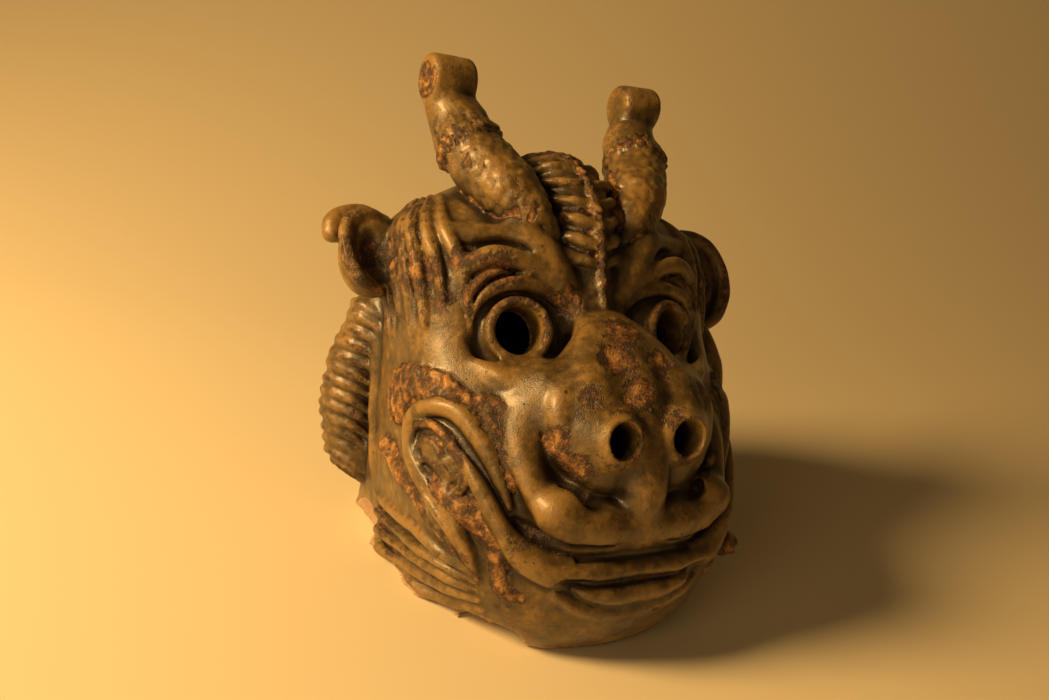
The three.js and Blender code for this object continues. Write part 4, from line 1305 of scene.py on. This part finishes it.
# %% Rust on the glaze
scale_mark = attribute_node(tree, "scale_mark")
rust_source = math_node(tree, "MULTIPLY", attribute_node(tree, "rust_mark"), 0.85)
rust_source = plus_share(tree, edge, 0.05, rust_source)
rust_source = plus_share(tree, centred(tree, noise_node(tree, 60, 5, 0.65)), 1.1, rust_source)
rust_source = plus_share(tree, math_node(tree, "ABSOLUTE", edge), 0.26, rust_source)
pit_depth = math_node(tree, "MAXIMUM", math_node(tree, "MULTIPLY", edge, -1.0), 0.0)
rust_source = plus_share(tree, math_node(tree, "MULTIPLY", pit_depth, scale_mark), 0.5, rust_source)
torn_rust = place_group(tree, ragged_mask, Mask=rust_source, Scale=300.0, Tear=0.9, Threshold=0.5)
rust = math_node(tree, "MULTIPLY", torn_rust["Amount"], 0.93)
warmth = plus_share(tree, centred(tree, noise_node(tree, 1300, 4, 0.75)), 1.2, torn_rust["Strength"])
warmth = plus_share(tree, centred(tree, noise_node(tree, 330, 3, 0.5), 0.54), 1.6, warmth)
rust_tone = mix_colours(tree, map_node(tree, warmth, 0.0, 0.24), RUST_DARK, RUST_WARM)
rust_tone = mix_colours(tree, map_node(tree, warmth, 0.2, 0.62), rust_tone, OCHRE)
colour = mix_colours(tree, rust, colour, rust_tone)
print("rust laid over the glaze")

# %% [markdown]
# ### Chips and pinholes
# The broken rim shows pale pinkish clay with grit. It is matt, so chips and rust together make the dry
# mask. Pinholes come only in glaze.

# %% Chips and pinholes
CHIP_CLAY = (0.42, 0.27, 0.17)
CHIP_GRIT = (0.72, 0.6, 0.46)

bare_mark = attribute_node(tree, "bare_mark")
bare = place_group(tree, ragged_mask, Mask=bare_mark, Scale=420.0, Tear=0.5, Threshold=0.55)["Amount"]
chip = place_group(tree, bare_clay, Clay=CHIP_CLAY, Grit=CHIP_GRIT, Grit_Amount=0.6)
colour = mix_colours(tree, bare, colour, chip["Colour"])
dry = math_node(tree, "MAXIMUM", rust, bare)
small_pits = place_group(tree, pinholes, Scale=520.0, Share=0.1, Size=0.17)["Pit"]
large_pits = place_group(tree, pinholes, Scale=190.0, Share=0.05, Size=0.11)["Pit"]
pits = math_node(tree, "MAXIMUM", small_pits, large_pits)
pits = math_node(tree, "MULTIPLY", pits, math_node(tree, "SUBTRACT", 1.0, dry))
colour = mix_colours(tree, math_node(tree, "MULTIPLY", pits, 0.6), colour, RUST_DARK)
tree.links.new(colour, shader.inputs["Base Color"])
print("colour of", glaze.name, "finished")

# %% [markdown]
# ### Gloss and fine bumps
# The glaze is glossy with a thin coat, uneven from place to place. Its own waves, a crust on the dry parts
# and the pinholes are too fine for the mesh, so a bump node carries them.

# %% Gloss and bumps
GLAZE_IOR = 1.52
COAT_ROUGHNESS = 0.22

gloss = plus_share(tree, fine_mottle, 0.35, 0.24)
tree.links.new(plus_share(tree, dry, 0.12, gloss), shader.inputs["Roughness"])
tree.links.new(plus_share(tree, dry, -0.1, 0.2), shader.inputs["Coat Weight"])
shader.inputs["Coat Roughness"].default_value = COAT_ROUGHNESS
shader.inputs["IOR"].default_value = GLAZE_IOR
relief = math_node(tree, "MULTIPLY", noise_node(tree, 260, 3, 0.5), 0.55)
relief = plus_share(tree, noise_node(tree, 2400, 2, 0.6), 0.22, relief)
crust = math_node(tree, "MULTIPLY", noise_node(tree, 1300, 4, 0.7), math_node(tree, "MULTIPLY", dry, 1.1))
relief = math_node(tree, "ADD", relief, crust)
relief = plus_share(tree, pits, -0.9, relief)


def bump_into(tree, height, shader, distance, strength):
    """Feeds a height into the shader's normal."""
    bump = tree.nodes.new("ShaderNodeBump")
    bump.inputs["Distance"].default_value = distance
    bump.inputs["Strength"].default_value = strength
    tree.links.new(height, bump.inputs["Height"])
    tree.links.new(bump.outputs["Normal"], shader.inputs["Normal"])


bump_into(tree, relief, shader, 0.0007, 0.8)
head.data.materials.append(glaze)
print("material:", glaze.name, "with", len(tree.nodes), "nodes")

# %% [markdown]
# ## The unglazed inside
# The photo shows only a little of the hollow, through the eye. It is taken as never dipped, so faces whose
# corners all lie in it take a second material of plain red brown clay.

# %% Inside material
INSIDE_CLAY = (0.24, 0.1, 0.045)
INSIDE_GRIT = (0.36, 0.2, 0.11)
INSIDE_ROUGHNESS = 0.85
INSIDE_SHARE = 0.6

inside_clay, tree, shader = empty_material("unglazed_inside")
body = place_group(tree, bare_clay, Clay=INSIDE_CLAY, Grit=INSIDE_GRIT, Grit_Amount=0.3)
tree.links.new(body["Colour"], shader.inputs["Base Color"])
shader.inputs["Roughness"].default_value = INSIDE_ROUGHNESS
bump_into(tree, body["Height"], shader, 0.0004, 1.0)
head.data.materials.append(inside_clay)

corners = np.empty(len(head.data.loops), np.int32)
head.data.loops.foreach_get("vertex_index", corners)
totals = np.empty(len(head.data.polygons), np.int32)
head.data.polygons.foreach_get("loop_total", totals)
starts = np.concatenate([[0], np.cumsum(totals)[:-1]])
all_inside = np.minimum.reduceat(readings["inside"][corners], starts) > INSIDE_SHARE
head.data.polygons.foreach_set("material_index", all_inside.astype(np.int32))
print("faces inside:", int(all_inside.sum()))

# %% [markdown]
# ## Stage and light
# A pale floor sweeps up into a pale backdrop. The photo is lit by one warm lamp from the left, soft at its
# edge, and the right side of the face falls into shade, so one warm area light does the same here, with a
# weak fill and a little light from the room.

# %% Floor and lights
FLOOR_REACH = 1.5
FLOOR_BEHIND = 0.16
SWEEP_RADIUS = 0.9
SWEEP_STEPS = 24
FLOOR_PAINT = (0.8, 0.71, 0.53, 1)


def sweep_mesh():
    """A floor that curves up behind the object."""
    profile = [(-FLOOR_REACH, 0.0), (FLOOR_BEHIND, 0.0)]
    for i in range(1, SWEEP_STEPS + 1):
        a = math.pi / 2 * i / SWEEP_STEPS
        profile.append((FLOOR_BEHIND + SWEEP_RADIUS * math.sin(a), SWEEP_RADIUS * (1 - math.cos(a))))
    profile.append((FLOOR_BEHIND + SWEEP_RADIUS, 2 * FLOOR_REACH))
    rows = [(x, y, z) for y, z in profile for x in (-2 * FLOOR_REACH, 2 * FLOOR_REACH)]
    faces = [(2 * i, 2 * i + 1, 2 * i + 3, 2 * i + 2) for i in range(len(profile) - 1)]
    mesh = bpy.data.meshes.new("floor")
    mesh.from_pydata(rows, [], faces)
    mesh.polygons.foreach_set("use_smooth", np.ones(len(faces), bool))
    return mesh


floor = bpy.data.objects.new("floor", sweep_mesh())
floor.rotation_euler.z = -CAMERA_TURN
bpy.context.collection.objects.link(floor)
floor_paint, tree, shader = empty_material("pale_floor")
shader.inputs["Base Color"].default_value = FLOOR_PAINT
shader.inputs["Roughness"].default_value = 0.9
shader.inputs["Specular IOR Level"].default_value = 0.1
floor.data.materials.append(floor_paint)
floor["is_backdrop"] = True
print("floor has", len(floor.data.polygons), "faces")

# %% [markdown]
# ### Lamp, fill and room
# A lamp's size sets how soft its shadow is. All three are golden, as the light in the photo is.

# %% Lights
LAMP = dict(place=(-0.62, 0.05, 0.42), size=0.24, power=8.8, colour=(1.0, 0.61, 0.22))
FILL = dict(place=(-0.66, -0.42, 0.26), size=0.4, power=1.3, colour=(1.0, 0.66, 0.3))
LIT_POINT = (0, 0, 0.07)
ROOM_COLOUR = (1.0, 0.7, 0.36, 1)
ROOM_STRENGTH = 0.04


def area_light(name, place, size, power, colour):
    """A round area light that faces the head. Metres and watts."""
    light = bpy.data.objects.new(name, bpy.data.lights.new(name, "AREA"))
    light.data.shape = "DISK"
    light.data.size = size
    light.data.energy = power
    light.data.color = colour
    light.location = place
    light.rotation_euler = (Vector(LIT_POINT) - Vector(place)).to_track_quat("-Z", "Y").to_euler()
    bpy.context.collection.objects.link(light)


area_light("lamp", **LAMP)
area_light("fill", **FILL)
world = bpy.data.worlds.new("room")
world.use_nodes = True
backdrop = world.node_tree.nodes["Background"]
backdrop.inputs["Color"].default_value = ROOM_COLOUR
backdrop.inputs["Strength"].default_value = ROOM_STRENGTH
bpy.context.scene.world = world
bpy.context.scene.view_settings.view_transform = "Standard"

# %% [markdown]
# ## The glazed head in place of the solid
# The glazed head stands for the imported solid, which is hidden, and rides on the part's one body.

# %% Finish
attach(head, "root")
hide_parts(HEAD_NODE)

bpy.context.view_layer.update()
low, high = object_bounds()
print("visual box in metres:", tuple(low), tuple(high))
